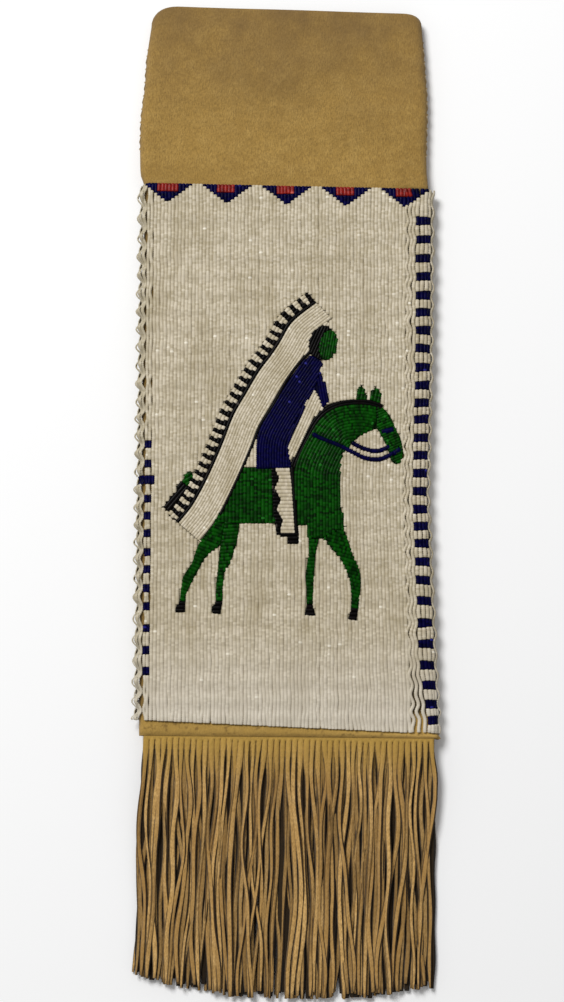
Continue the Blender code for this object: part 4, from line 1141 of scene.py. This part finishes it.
def hide_points(front):
    """The outer surface of one hide, as a grid of points from its mouth to its foot."""
    turns = np.linspace(0, math.pi / 2, EDGE_STEPS + 1)
    out, up = np.sin(turns), np.cos(turns)
    ends = np.ones(EDGE_STEPS)
    shares = np.concatenate([-ends, np.linspace(-1, 1, HIDE_ACROSS), ends])
    outward = np.concatenate([-out[:0:-1], np.zeros(HIDE_ACROSS), out[1:]])
    upward = np.concatenate([up[:0:-1], np.ones(HIDE_ACROSS), up[1:]])
    near = np.array(NEAR_ROWS_MM) * MM
    long_part = np.linspace(15 * MM, HIDE_LENGTH - 13 * MM, HIDE_DOWN)
    downs = np.concatenate([near, long_part, HIDE_LENGTH - near[::-1]])
    share, down = np.meshgrid(shares, downs)
    rest = HIDE_LENGTH - down
    rough_y = HALF_LENGTH - down
    settled = smooth_step((rough_y - border_y(-BAG_WIDTH / 2) - GAP) / SETTLE_LENGTH)
    foot, top = BACK_HIDE_FOOT * (1 - settled), FRONT_HIDE_TOP - LIP_DROP * settled
    middle = (foot + top) / 2
    radius = top - middle - GAP / 2
    left_inset = corner_inset(down, LEFT_CORNER_RADIUS)
    inset = np.where(share < 0, left_inset, corner_inset(down, RIGHT_CORNER_RADIUS))
    shift = MOUTH_SHIFT * smooth_step((rough_y - BORDER_Y) / TOP_LENGTH)
    x = share * (half_width(rough_y) - inset - radius) + outward * radius + shift
    x = x + edge_bulge(rough_y, share)
    y = (rest * (mouth_y(x) - down) + down * (header_foot_y(x) + rest)) / HIDE_LENGTH
    y = y + (MOUTH_RISE + MOUTH_RISE_SLOPE * x) * smooth_step(1 - down / MOUTH_RISE_LENGTH)
    below_panel = smooth_step((panel_foot_y(x) + 2 * MM - y) / (5 * MM))
    x = x + HEADER_REACH * np.maximum(share, 0.0) ** 3 * below_panel
    rise = GAP / 2 + radius * upward
    if front:
        open_part = smooth_step((TOP_LENGTH - SETTLE_LENGTH - down) / (18 * MM))
        waves = Waves(random.Random(SEED + 3), 30 * MM, 75 * MM, 6)
        soft = SOFTNESS * waves(x, y) * (1 - share**2) * open_part
        below = np.clip((panel_foot_y(x) - y) / (panel_foot_y(x) - header_foot_y(x)), 0, 1)
        welt = WELT * np.sin(math.pi * below) * (np.abs(outward) < 0.9)
        lip, foot_roll = rolled(down, 2.6 * MM, 0.5 * MM), rolled(rest, 2.4 * MM, 0.9 * MM)
        rise = rise + soft - lip - foot_roll + welt * (0.75 + 0.25 * np.sin(x / WELT_RIPPLE))
    else:
        rise = rise - rolled(down, 2.6 * MM, 0.4 * MM)
    z = middle + rise if front else middle - rise
    return np.stack([waisted(x, rough_y), y, z], axis=-1)


def edge_bulge(y, share):
    left = np.interp(y / MM, *zip(*LEFT_BULGE)) * MM
    right = np.interp(y / MM, *zip(*RIGHT_BULGE)) * MM
    return right * np.maximum(share, 0.0) - left * np.maximum(-share, 0.0)


def packed_bulge(y, share):
    """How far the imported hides' edges lie from straight lines."""
    up = y - border_y(-BAG_WIDTH / 2) - GAP
    left = smooth_step(up / (12 * MM)) - smooth_step((up - 32 * MM) / (75 * MM))
    right = PACKED_RIGHT * smooth_step((up - 15 * MM) / (50 * MM))
    right = right - PACKED_DIP * smooth_step(up / (8 * MM))
    return right * np.maximum(share, 0.0) - PACKED_LEFT * left * np.maximum(-share, 0.0)


def make_seam_stitches(node, share):
    """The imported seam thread, which follows the hides' edges outward."""
    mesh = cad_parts[node].data.copy()
    places = np.empty(3 * len(mesh.vertices))
    mesh.vertices.foreach_get("co", places)
    places = places.reshape(-1, 3)
    shares = np.full(len(places), share)
    places[:, 0] += edge_bulge(places[:, 1], shares) - packed_bulge(places[:, 1], shares)
    places[:, 0] -= STITCH_INSET * share
    mesh.vertices.foreach_set("co", places.ravel())
    mesh.update()
    mesh.materials.clear()
    dressed(f"{node}_stitches", mesh, "sinew", [node])


def make_hide(node, front):
    grid = hide_points(front)
    rows, columns = grid.shape[:2]
    first = (np.arange(rows - 1)[:, None] * columns + np.arange(columns - 1)).reshape(-1, 1)
    corners = [0, columns, columns + 1, 1] if front else [0, 1, columns + 1, columns]
    faces = first + np.array(corners)
    hide = piece_from(f"{node}_suede", grid.reshape(-1, 3), faces, "hide", [node])
    solid = hide.modifiers.new("thickness", "SOLIDIFY")
    solid.thickness = HIDE
    solid.offset = -1.0
    solid.use_even_offset = True
    soften = hide.modifiers.new("soft_rim", "BEVEL")
    soften.width = 0.4 * MM
    soften.segments = 2
    soften.limit_method = "ANGLE"
    soften.angle_limit = math.radians(60)
    apply_modifiers(hide)


def apply_modifiers(thing):
    bpy.context.view_layer.update()
    graph = bpy.context.evaluated_depsgraph_get()
    mesh = bpy.data.meshes.new_from_object(thing.evaluated_get(graph), depsgraph=graph)
    thing.modifiers.clear()
    thing.data = mesh


# Fringe

STRAND_PITCH = 3.15 * MM
STRAND_WIDTH = 2.9 * MM
STRAND_THICKNESS = 1.25 * MM
STRAND_UNEVENNESS = 4.0 * MM
STRAND_RINGS = 40
FRINGE_TUCK = 8.0 * MM
FRINGE_TOP = 8.85 * MM
APRON = 3.0 * MM
HEADER_OVERLAP = 0.6 * MM
FLOOR_LIFT = 0.8 * MM
FLOOR_ROOM = 0.05 * MM
LOWEST_MIDDLE = 0.7 * MM
THINNED_TIP = 0.45

# How strands sway: common currents, and waves of their own, with their length as a share of the
# strand and their size. Some strands stray over their neighbours
CURRENT = 0.8 * MM
CURRENTS = 4
OWN_WAVES = ((0.42, 1.6 * MM), (0.2, 0.9 * MM))
STRAY_SHARE = 0.15
STRAY_LIFT = 0.9 * MM
GROUP_SWAY = 1.5 * MM
GROUP_DRIFT = 2.2 * MM
RIPPLE = 0.45 * MM

# The layers, from the upper one down: how freely they sway, and how deep their painted shade is.
# The nearly black third layer has wide strands that fill the gaps between the others as painted
# shade
LAYER_STEP = 1.15 * MM
LAYER_LOOSE = (1.0, 0.9, 0.12, 0.8)
DEPTH_SHADES = (0.0, 0.3, 0.96, 0.1)
WIDE_LAYER = 2
WIDE_STRAND = 4.3 * MM

# The left and right ends of the row of strands, at its root and at its tips
ROOT_SPAN = (-78.8 * MM, 80.2 * MM)
TIP_SPAN = (-84.2 * MM, 79.6 * MM)
SPAN_MARGIN = 0.6 * MM

# How far short of the lowest strand the others end, at places across, in mm
TIP_RISES = (
    (-83, 15.0), (-72, 10.5), (-52, 6.0), (-24, 1.0), (5, 0.0), (48, 0.5), (62, 4.0), (80, 5.5),
)

# A strand's section, how far each face round it is darkened for its cut edges and as painted
# shade on its sides and underside, and the faces that close its ends
STRAND_PROFILE = np.array([
    (-0.5, 0.1), (-0.32, 0.5), (0.0, 0.58), (0.32, 0.5),
    (0.5, 0.1), (0.4, -0.45), (0.0, -0.5), (-0.4, -0.45),
])
CUT_AND_SHADED_SIDES = np.array([0.75, 0.0, 0.0, 1.0, 1.0, 0.3, 0.3, 1.0])
CAP = np.array([(0, 1, 2, 7), (7, 2, 3, 6), (6, 3, 4, 5)])


def tubes(name, kind, nodes, rings_of_each, tones_of_each, cuts_of_each):
    """Closed tubes with eight points round, each from its own rings, as one piece."""
    faces, tones, sides, start = [], [], [], 0
    around = np.arange(8)
    step = np.stack([around, (around + 1) % 8, (around + 1) % 8 + 8, around + 8], axis=1)
    for rings, tone, cut in zip(rings_of_each, tones_of_each, cuts_of_each):
        count = len(rings)
        rows = np.arange(count - 1)[:, None] * 8
        walls = (rows[:, :, None] + step).reshape(-1, 4)
        ends = np.concatenate([CAP[:, ::-1], CAP + 8 * (count - 1)])
        faces.append(start + np.concatenate([walls, ends]))
        tones.append(np.full(len(walls) + len(ends), tone))
        sides.append((cut[:-1, None] * CUT_AND_SHADED_SIDES).ravel())
        sides.append(np.zeros(len(ends)))
        start += 8 * count
    points = np.concatenate([rings.reshape(-1, 3) for rings in rings_of_each])
    made = piece_from(name, points, np.concatenate(faces), kind, nodes)
    paint(made, "tone", np.concatenate(tones))
    paint(made, "side", np.concatenate(sides))
    bm = bmesh.new()
    bm.from_mesh(made.data)
    bmesh.ops.recalc_face_normals(bm, faces=bm.faces)
    bm.to_mesh(made.data)
    bm.free()
    return made


def strand_ends(middles, dice):
    places, rises = zip(*TIP_RISES)
    ends = []
    for middle in middles:
        rise = float(np.interp(middle / MM, places, rises)) * MM
        ends.append(-HALF_LENGTH + rise + STRAND_UNEVENNESS * dice.random() ** 1.5)
    return ends


class Clumps:
    """Groups of neighbouring strands that sway together and draw close to each other."""

    def __init__(self, middles, loose, dice):
        self.of_strand, self.currents, self.loose = [], [], loose
        for _ in range(CURRENTS):
            span, start = dice.uniform(34, 80) * MM, dice.uniform(0, math.tau)
            length, phase = dice.uniform(0.4, 0.8), dice.uniform(0, math.tau)
            self.currents.append((span, start, length, phase))
        while len(self.of_strand) < len(middles):
            first = len(self.of_strand)
            size = min(dice.choice((2, 3, 4, 5, 6)), len(middles) - first)
            middle = sum(middles[first : first + size]) / size
            group = {
                "middle": middle,
                "size": dice.uniform(-1, 1) * GROUP_SWAY * loose,
                "length": dice.uniform(0.42, 0.85),
                "phase": dice.uniform(0, math.tau),
                "drift": dice.uniform(-1, 1) * GROUP_DRIFT * loose,
                "gather": dice.uniform(0.0, 0.24),
                "gathered": dice.uniform(0.3, 0.8),
            }
            self.of_strand += [group] * size

    def place(self, number, root, tip, t):
        group = self.of_strand[number]
        gathered = group["gather"] * smooth_step(t / group["gathered"])
        across = root + (tip - root) * t
        across = across + (group["middle"] - root) * gathered
        for span, start, length, phase in self.currents:
            wave = np.sin(math.pi * t / length + phase) - math.sin(phase)
            side = math.sin(math.tau * group["middle"] / span + start)
            across = across + CURRENT * self.loose * side * wave * smooth_step(3.0 * t)
        wave = np.sin(math.pi * t / group["length"] + group["phase"]) - math.sin(group["phase"])
        return across + group["size"] * wave * smooth_step(3.0 * t) + group["drift"] * t**1.5


def wander(t, dice, length, size):
    """A slow sideways wave of a strand, which starts a little below its root."""
    phase = dice.uniform(0, math.tau)
    return dice.uniform(-1, 1) * size * np.sin(math.pi * t / length + phase) * smooth_step(5 * t)


def strand_rings(x, layer, end_y, number, clumps, dice):
    """One strand of suede: a soft strip that sways, twists and settles on the floor."""
    loose = LAYER_LOOSE[layer]
    t = np.linspace(0, 1, STRAND_RINGS) ** 1.1
    share = (x - ROOT_SPAN[0]) / (ROOT_SPAN[1] - ROOT_SPAN[0])
    tip = TIP_SPAN[0] + share * (TIP_SPAN[1] - TIP_SPAN[0])
    across = clumps.place(number, x, tip, t)
    for length, size in OWN_WAVES:
        across = across + wander(t, dice, length, size * loose)
    stray = dice.random() < STRAY_SHARE * loose
    if stray:
        side = dice.choice((-1, 1))
        across = across + side * dice.uniform(4, 9) * MM * smooth_step(1.3 * t - 0.2)
    low = ROOT_SPAN[0] + (TIP_SPAN[0] - ROOT_SPAN[0]) * t - SPAN_MARGIN
    high = ROOT_SPAN[1] + (TIP_SPAN[1] - ROOT_SPAN[1]) * t + SPAN_MARGIN
    across = np.where(across < low, low + 0.25 * (across - low), across)
    across = np.where(across > high, high + 0.25 * (across - high), across)
    start_y = header_foot_y(x) + HEADER_OVERLAP
    y = start_y + (end_y - start_y) * t
    start_z = FRINGE_TOP - LAYER_STEP * layer
    below = len(LAYER_LOOSE) - 1 - layer
    rest = FLOOR_LIFT + LAYER_STEP * below + dice.uniform(0, 0.9) * MM
    rest += STRAY_LIFT if stray else 0.0
    z = start_z + (rest - start_z) * smooth_step(1.5 * t)
    ripple = np.sin(t * dice.uniform(8, 15) + dice.uniform(0, math.tau))
    own = dice.uniform(-0.9, 0.5) * MM * smooth_step(8 * t) * smooth_step(3 * (1 - t))
    z = np.maximum(z + loose * (own + RIPPLE * ripple * smooth_step(3 * t)), LOWEST_MIDDLE)
    slit = 0.008 + 0.09 * dice.random() ** 1.7
    narrow = WIDE_STRAND if layer == WIDE_LAYER else dice.uniform(2.0, 3.4) * MM
    width = STRAND_PITCH + (STRAND_WIDTH - STRAND_PITCH) * smooth_step(22 * (t - slit))
    width = width + (narrow - width) * smooth_step(6 * (t - slit))
    width = width * (1 + 0.1 * np.sin(t * dice.uniform(15, 35) + dice.uniform(0, math.tau)))
    width = width * (1 - THINNED_TIP * smooth_step(8 * (t - 0.9)))
    twist = dice.uniform(-1.0, 1.0) * np.sin(t * dice.uniform(3, 9) + dice.uniform(0, math.tau))
    twist = loose * twist * smooth_step(6 * (t - slit))
    wide = STRAND_PROFILE[:, 0] * width[:, None]
    thick = STRAND_PROFILE[:, 1] * STRAND_THICKNESS * (1 - 0.15 * t[:, None])
    side = wide * np.cos(twist)[:, None] - thick * np.sin(twist)[:, None]
    up = wide * np.sin(twist)[:, None] + thick * np.cos(twist)[:, None]
    lean = left_of(np.column_stack([across, y]))
    rings = np.empty((STRAND_RINGS, 8, 3))
    rings[:, :, 0] = across[:, None] + side * lean[:, None, 0]
    rings[:, :, 1] = y[:, None] + side * lean[:, None, 1]
    rings[:, :, 2] = np.maximum(z[:, None] + up, FLOOR_ROOM)
    return rings, smooth_step(14 * (t - slit))


def make_fringe(name, node, layer):
    """One layer of strands, with the uncut band above them that is sewn between the hides."""
    dice = random.Random(SEED + 20 + layer)
    left, right = ROOT_SPAN[0] + STRAND_WIDTH / 2, ROOT_SPAN[1] - STRAND_WIDTH / 2
    count = int((right - left) / STRAND_PITCH) + layer % 2
    middles = [left + (right - left) * i / (count - 1) for i in range(count)]
    ends = strand_ends(middles, dice)
    if layer == 0:
        ends[ends.index(min(ends))] = -HALF_LENGTH
    clumps = Clumps(middles, LAYER_LOOSE[layer], dice)
    rings, cuts = [], []
    for i, (x, end) in enumerate(zip(middles, ends)):
        strand, cut = strand_rings(x, layer, end, i, clumps, dice)
        rings.append(strand)
        cuts.append(cut)
    band = band_rings(layer)
    tones = [dice.random() for _ in middles]
    no_cut = np.zeros(len(band))
    made = tubes(name, "fringe_hide", [node], [*rings, band], [*tones, 0.5], [*cuts, no_cut])
    # Each layer's painted shade
    paint(made, "depth", np.full(len(made.data.polygons), DEPTH_SHADES[layer]))


def band_rings(layer):
    """The uncut band above the strands. The front one's lower edge shows below the header."""
    across = np.linspace(*ROOT_SPAN, 81)
    apron, thickness = 0.3 * MM, 0.9 * MM
    if layer == 0:
        uneven = Waves(random.Random(SEED + 30), 5 * MM, 16 * MM)
        apron = APRON + 0.9 * MM * uneven(across, np.zeros(len(across)))
        thickness = 1.4 * MM
    low = header_foot_y(across) - apron
    high = HEADER_FOOT_Y + FRINGE_TUCK
    rings = np.empty((len(across), 8, 3))
    rings[:, :, 0] = across[:, None]
    rings[:, :, 1] = (low + high)[:, None] / 2 + STRAND_PROFILE[:, 0] * (high - low)[:, None]
    rings[:, :, 2] = FRINGE_TOP - LAYER_STEP * layer + STRAND_PROFILE[:, 1] * thickness
    return rings


# Looks

# For each kind of bead: its darkest and lightest shade, a painted glint for a few beads, and its
# patches of painted shade and dirt, then how much of the patches shows, the share of glinting
# beads, and how strongly they shine
BEAD_LOOKS = {
    "white_beads": (
        (179, 167, 140), (208, 197, 175), (232, 224, 206), (160, 146, 114), 0.55, 0.004, 0.2
    ),
    "navy_beads": ((1, 1, 32), (5, 3, 60), (40, 40, 120), (2, 1, 24), 0.4, 0.006, 0.04),
    "red_beads": ((104, 16, 12), (146, 32, 24), (190, 84, 70), (84, 18, 14), 0.4, 0.01, 0.16),
    "green_beads": ((1, 24, 0), (8, 78, 4), (30, 104, 30), (2, 26, 2), 0.5, 0.006, 0.05),
    "black_beads": ((2, 2, 2), (7, 5, 6), (60, 54, 50), (20, 9, 7), 0.45, 0.006, 0.06),
}


def plain(colour):
    """A colour as shaders take it, from sRGB values of 0 to 255."""
    shades = []
    for value in colour:
        value = value / 255
        shades.append(value / 12.92 if value <= 0.04045 else ((value + 0.055) / 1.055) ** 2.4)
    return (*shades, 1.0)


class Look:
    """A material made from shader nodes, with places in metres on the bag."""

    def __init__(self, name):
        self.material = bpy.data.materials.new(name)
        self.material.use_nodes = True
        self.tree = self.material.node_tree
        self.tree.nodes.clear()
        self.surface = self.node("ShaderNodeBsdfPrincipled")
        self.node("ShaderNodeOutputMaterial", {"Surface": self.surface.outputs[0]})
        self.place = self.node("ShaderNodeTexCoord").outputs["Object"]

    def node(self, kind, inputs=(), **settings):
        """A node with its settings, and what goes into its inputs, by their name or number."""
        made = self.tree.nodes.new(kind)
        for setting, value in settings.items():
            setattr(made, setting, value)
        for socket, value in dict(inputs).items():
            self.put(value, made.inputs[socket])
        return made

    def put(self, value, socket):
        """Joins another node's output to a socket, or sets the socket to a plain value."""
        if isinstance(value, bpy.types.NodeSocket):
            self.tree.links.new(value, socket)
        else:
            socket.default_value = value

    def set(self, **values):
        """Sets inputs of the surface, by their names in lower case with underscores."""
        for name, value in values.items():
            socket = name.replace("_", " ").title().replace("Ior", "IOR")
            self.put(value, self.surface.inputs[socket])

    def noise(self, size, detail=2.0, rough=0.5, stretch=(1.0, 1.0, 1.0)):
        """Noise with grains of about one size, longer where stretch is above 1."""
        scale = [1 / (size * each) for each in stretch]
        place = self.node("ShaderNodeMapping", {"Vector": self.place, "Scale": scale}).outputs[0]
        inputs = {"Vector": place, "Scale": 1.0, "Detail": detail, "Roughness": rough}
        return self.node("ShaderNodeTexNoise", inputs).outputs[0]

    def attribute(self, name):
        return self.node("ShaderNodeAttribute", attribute_name=name).outputs["Fac"]

    def along(self, axis):
        return self.node("ShaderNodeSeparateXYZ", {0: self.place}).outputs[axis]

    def spread(self, value, start, end, low=0.0, high=1.0):
        """Turns a range of values into another range, clamped at its ends."""
        inputs = dict(enumerate((value, start, end, low, high)))
        return self.node("ShaderNodeMapRange", inputs).outputs[0]

    def math(self, operation, first, second=0.0):
        return self.node("ShaderNodeMath", {0: first, 1: second}, operation=operation).outputs[0]

    def times(self, first, *others):
        for each in others:
            first = self.math("MULTIPLY", first, each)
        return first

    def mix(self, share, first, second):
        inputs = {0: share, 6: first, 7: second}
        return self.node("ShaderNodeMix", inputs, data_type="RGBA").outputs[2]

    def over(self, below, colour, *shares):
        """A plain colour over another look, as far as all the shares together let it."""
        return self.mix(self.times(*shares), below, plain(colour))

    def bump(self, height, distance, strength=1.0):
        inputs = {"Height": height, "Distance": distance, "Strength": strength}
        self.set(normal=self.node("ShaderNodeBump", inputs).outputs[0])


def bead_look(kind, dark, light, glint, shade_and_soil, shade_and_soil_share, glint_share, shine):
    """Small glass beads: each has its own shade, a few carry a painted glint, and painted shade and
    dirt lie in patches.
    """
    look = Look(kind)
    tone = look.attribute("tone")
    colour = look.mix(tone, plain(dark), plain(light))
    # Patches of painted shade and dirt, longer along the bag
    patches = look.noise(17 * MM, 3.0, 0.55, (0.7, 2.4, 1.0))
    colour = look.over(colour, shade_and_soil, look.spread(patches, 0.47, 0.72, 0.0, shade_and_soil_share))
    # A few beads take a painted glint colour
    colour = look.over(colour, glint, look.spread(tone, 1 - glint_share, 1 - glint_share + 0.002))
    gloss = look.spread(look.noise(3 * MM, 2.0), 0.3, 0.7, 0.26, 0.46)
    look.set(base_color=colour, roughness=gloss, ior=1.5, specular_ior_level=shine)
    look.bump(look.noise(0.5 * MM, 2.0), 0.06 * MM, 0.6)
    return look


def suede_look(kind, colour, dark, light):
    """Brushed hide: a mottled nap with soft wrinkles and a little sheen."""
    look = Look(kind)
    wide = look.noise(48 * MM, 4.0, 0.6)
    close = look.noise(7 * MM, 4.0, 0.65)
    nap = look.noise(0.9 * MM, 3.0, 0.75, (0.7, 2.0, 1.0))
    blend = look.over(plain(colour), dark, look.spread(wide, 0.35, 0.7, 0.0, 0.5))
    blend = look.over(blend, light, look.spread(close, 0.42, 0.7, 0.0, 0.42))
    deep = [value * 0.85 for value in dark]
    blend = look.over(blend, deep, look.spread(nap, 0.38, 0.68, 0.0, 0.7))
    look.set(roughness=0.93, specular_ior_level=0.22, sheen_weight=0.1, sheen_roughness=0.55)
    height = look.math("ADD", look.times(close, 0.9), look.times(nap, 0.4))
    look.bump(look.math("ADD", height, look.times(wide, 1.4)), 1.1 * MM)
    return look, blend


def make_hide_look():
    """Suede with painted shade in patches toward the mouth, painted shade and dirt under the bead
    strips, and a spotted header with painted light toward its right.
    """
    look, blend = suede_look("hide", (172, 137, 70), (136, 106, 52), (194, 160, 92))
    x, y = look.along(0), look.along(1)
    # Painted shade, in patches, that darkens the hide toward the mouth
    mouth_shade_patches = look.spread(look.noise(24 * MM, 3.0), 0.3, 0.65, 0.4, 1.0)
    mouth = look.spread(y, 195 * MM, 278 * MM, 0.0, 0.75)
    blend = look.over(blend, (112, 88, 54), mouth, mouth_shade_patches)
    # Painted shade and dirt on the hide between the strings of the edge strips, less on the left
    from_middle = look.math("ABSOLUTE", look.math("ADD", x, 1.0 * MM))
    shade_and_dirt_under_strips = look.times(
        look.spread(from_middle, 62 * MM, 68 * MM),
        look.spread(y, 173 * MM, 170 * MM),
        look.spread(y, -134 * MM, -124 * MM),
        look.spread(x, -10 * MM, 10 * MM, 0.4, 1.0),
        0.85,
    )
    blend = look.over(blend, (62, 54, 30), shade_and_dirt_under_strips)
    header = look.spread(y, -126 * MM, -131 * MM, 0.0, 1.0)
    blend = look.over(blend, (180, 145, 72), header, 0.5)
    # Painted light: the header is lighter toward its right
    right = look.spread(x, 10 * MM, 70 * MM, 0.0, 0.7)
    blend = look.over(blend, (206, 168, 92), header, right)
    spots = look.spread(look.noise(4 * MM, 2.0), 0.58, 0.7, 0.0, 0.55)
    look.set(base_color=look.over(blend, (92, 68, 34), header, spots))
    return look


def make_fringe_look():
    """Suede in strips of uneven shade, darker on their cut sides, with painted shade on their sides
    and undersides and on the lower layers.
    """
    look, blend = suede_look("fringe_hide", (222, 179, 110), (156, 116, 57), (240, 202, 140))
    tone = look.spread(look.attribute("tone"), 0.0, 1.0, 0.0, 0.72)
    blend = look.over(blend, (146, 109, 55), tone)
    top = look.spread(look.along(1), -165 * MM, -142 * MM, 0.0, 0.8)
    blend = look.over(blend, (180, 145, 66), top)
    # Cut edges and painted shade darken the strands' sides and undersides
    blend = look.over(blend, (30, 14, 2), look.attribute("side"), 0.94)
    # Painted shade that deepens with the layer
    look.set(base_color=look.over(blend, (15, 6, 0), look.attribute("depth")))
    return look


def make_sinew_look():
    look = Look("sinew")
    fibres = look.noise(0.5 * MM, 3.0, 0.6, (1.0, 5.0, 1.0))
    look.set(base_color=look.over(plain((150, 124, 84)), (204, 184, 142), fibres), roughness=0.6)
    look.bump(fibres, 0.15 * MM, 0.7)
    return look


def pale_foot_and_shaded_left_edge(look):
    """Makes the white beads paler near the panel's foot, and darker at its left edge with painted
    shade where the strings turn round the bag.
    """
    colour = look.surface.inputs["Base Color"].links[0].from_socket
    foot = look.spread(look.along(1), -80 * MM, -128 * MM, 0.0, 0.6)
    # Painted shade at the left edge, where the strings turn away from the light
    edge = look.spread(look.along(0), -76 * MM, -82 * MM, 0.0, 0.25)
    colour = look.over(colour, (212, 204, 190), foot)
    look.set(base_color=look.over(colour, (150, 144, 118), edge))


def make_looks():
    looks = {kind: bead_look(kind, *values) for kind, values in BEAD_LOOKS.items()}
    pale_foot_and_shaded_left_edge(looks["white_beads"])
    looks["hide"] = make_hide_look()
    looks["fringe_hide"] = make_fringe_look()
    looks["sinew"] = make_sinew_look()
    return {kind: look.material for kind, look in looks.items()}


# Floor, light and camera

FLOOR_REACH = 3.0
CAMERA_AIM = (-3.1 * MM, -9.3 * MM, 13.0 * MM)
CAMERA_ELEVATION = 81.0
CAMERA_SENSOR = 36.0
CAMERA_LENS = CAMERA_SENSOR * 2070 / 1002


def make_stage():
    """A pale floor under plain soft light."""
    mesh = bpy.data.meshes.new("floor")
    signs = ((-1, -1), (1, -1), (1, 1), (-1, 1))
    corners = [(FLOOR_REACH * across, FLOOR_REACH * up, 0.0) for across, up in signs]
    mesh.from_pydata(corners, [], [(0, 1, 2, 3)])
    floor = thing_from("floor", mesh)
    floor.location.z = CAD_BOX[0].z - 0.2 * MM
    look = Look("floor")
    seen = look.node("ShaderNodeLightPath").outputs["Is Camera Ray"]
    look.set(base_color=look.mix(seen, (0.6, 0.6, 0.6, 1.0), (0.97, 0.97, 0.97, 1.0)))
    look.set(roughness=1.0, specular_ior_level=0.0)
    mesh.materials.append(look.material)
    world = bpy.data.worlds.new("soft_light")
    world.use_nodes = True
    sky = world.node_tree.nodes["Background"]
    sky.inputs["Color"].default_value = (1.0, 1.0, 1.0, 1.0)
    sky.inputs["Strength"].default_value = 0.36
    bpy.context.scene.world = world
    light = bpy.data.lights.new("window", "AREA")
    light.shape = "DISK"
    light.size = 1.1
    light.energy = 54.0
    lamp = thing_from("window", light)
    lamp.location = (-0.95, 1.15, 2.15)
    lamp.rotation_euler = (-lamp.location).to_track_quat("-Z", "Y").to_euler()


def make_camera():
    data = bpy.data.cameras.new("camera")
    data.sensor_fit = "AUTO"
    data.sensor_width = CAMERA_SENSOR
    data.lens = CAMERA_LENS
    data.clip_start, data.clip_end = 0.05, 20.0
    camera = thing_from("camera", data)
    tilt = math.radians(CAMERA_ELEVATION)
    back = Vector((0.0, -math.cos(tilt), math.sin(tilt)))
    camera.location = Vector(CAMERA_AIM) + back * VIEW_DISTANCE
    camera.rotation_mode = "QUATERNION"
    camera.rotation_quaternion = (-back).to_track_quat("-Z", "Y")
    bpy.context.scene.camera = camera
    bpy.context.scene.view_settings.view_transform = "Standard"


def build():
    fields = figure_fields()
    strips = make_strip("right", False) + make_strip("left", True)
    for beads in [*make_figure(fields), *make_front_ground(fields), *strips, *make_back_ground()]:
        beads.piece()
    make_hide("front_hide", True)
    make_hide("back_hide", False)
    for layer in range(len(LAYER_LOOSE)):
        node = ("fringe_front", "fringe_back")[layer // 2]
        make_fringe(f"{node}_{('upper', 'lower')[layer % 2]}", node, layer)
    make_seam_stitches("left_seam_thread", -1.0)
    make_seam_stitches("right_seam_thread", 1.0)


MATERIALS = make_looks()
build()
make_stage()
make_camera()
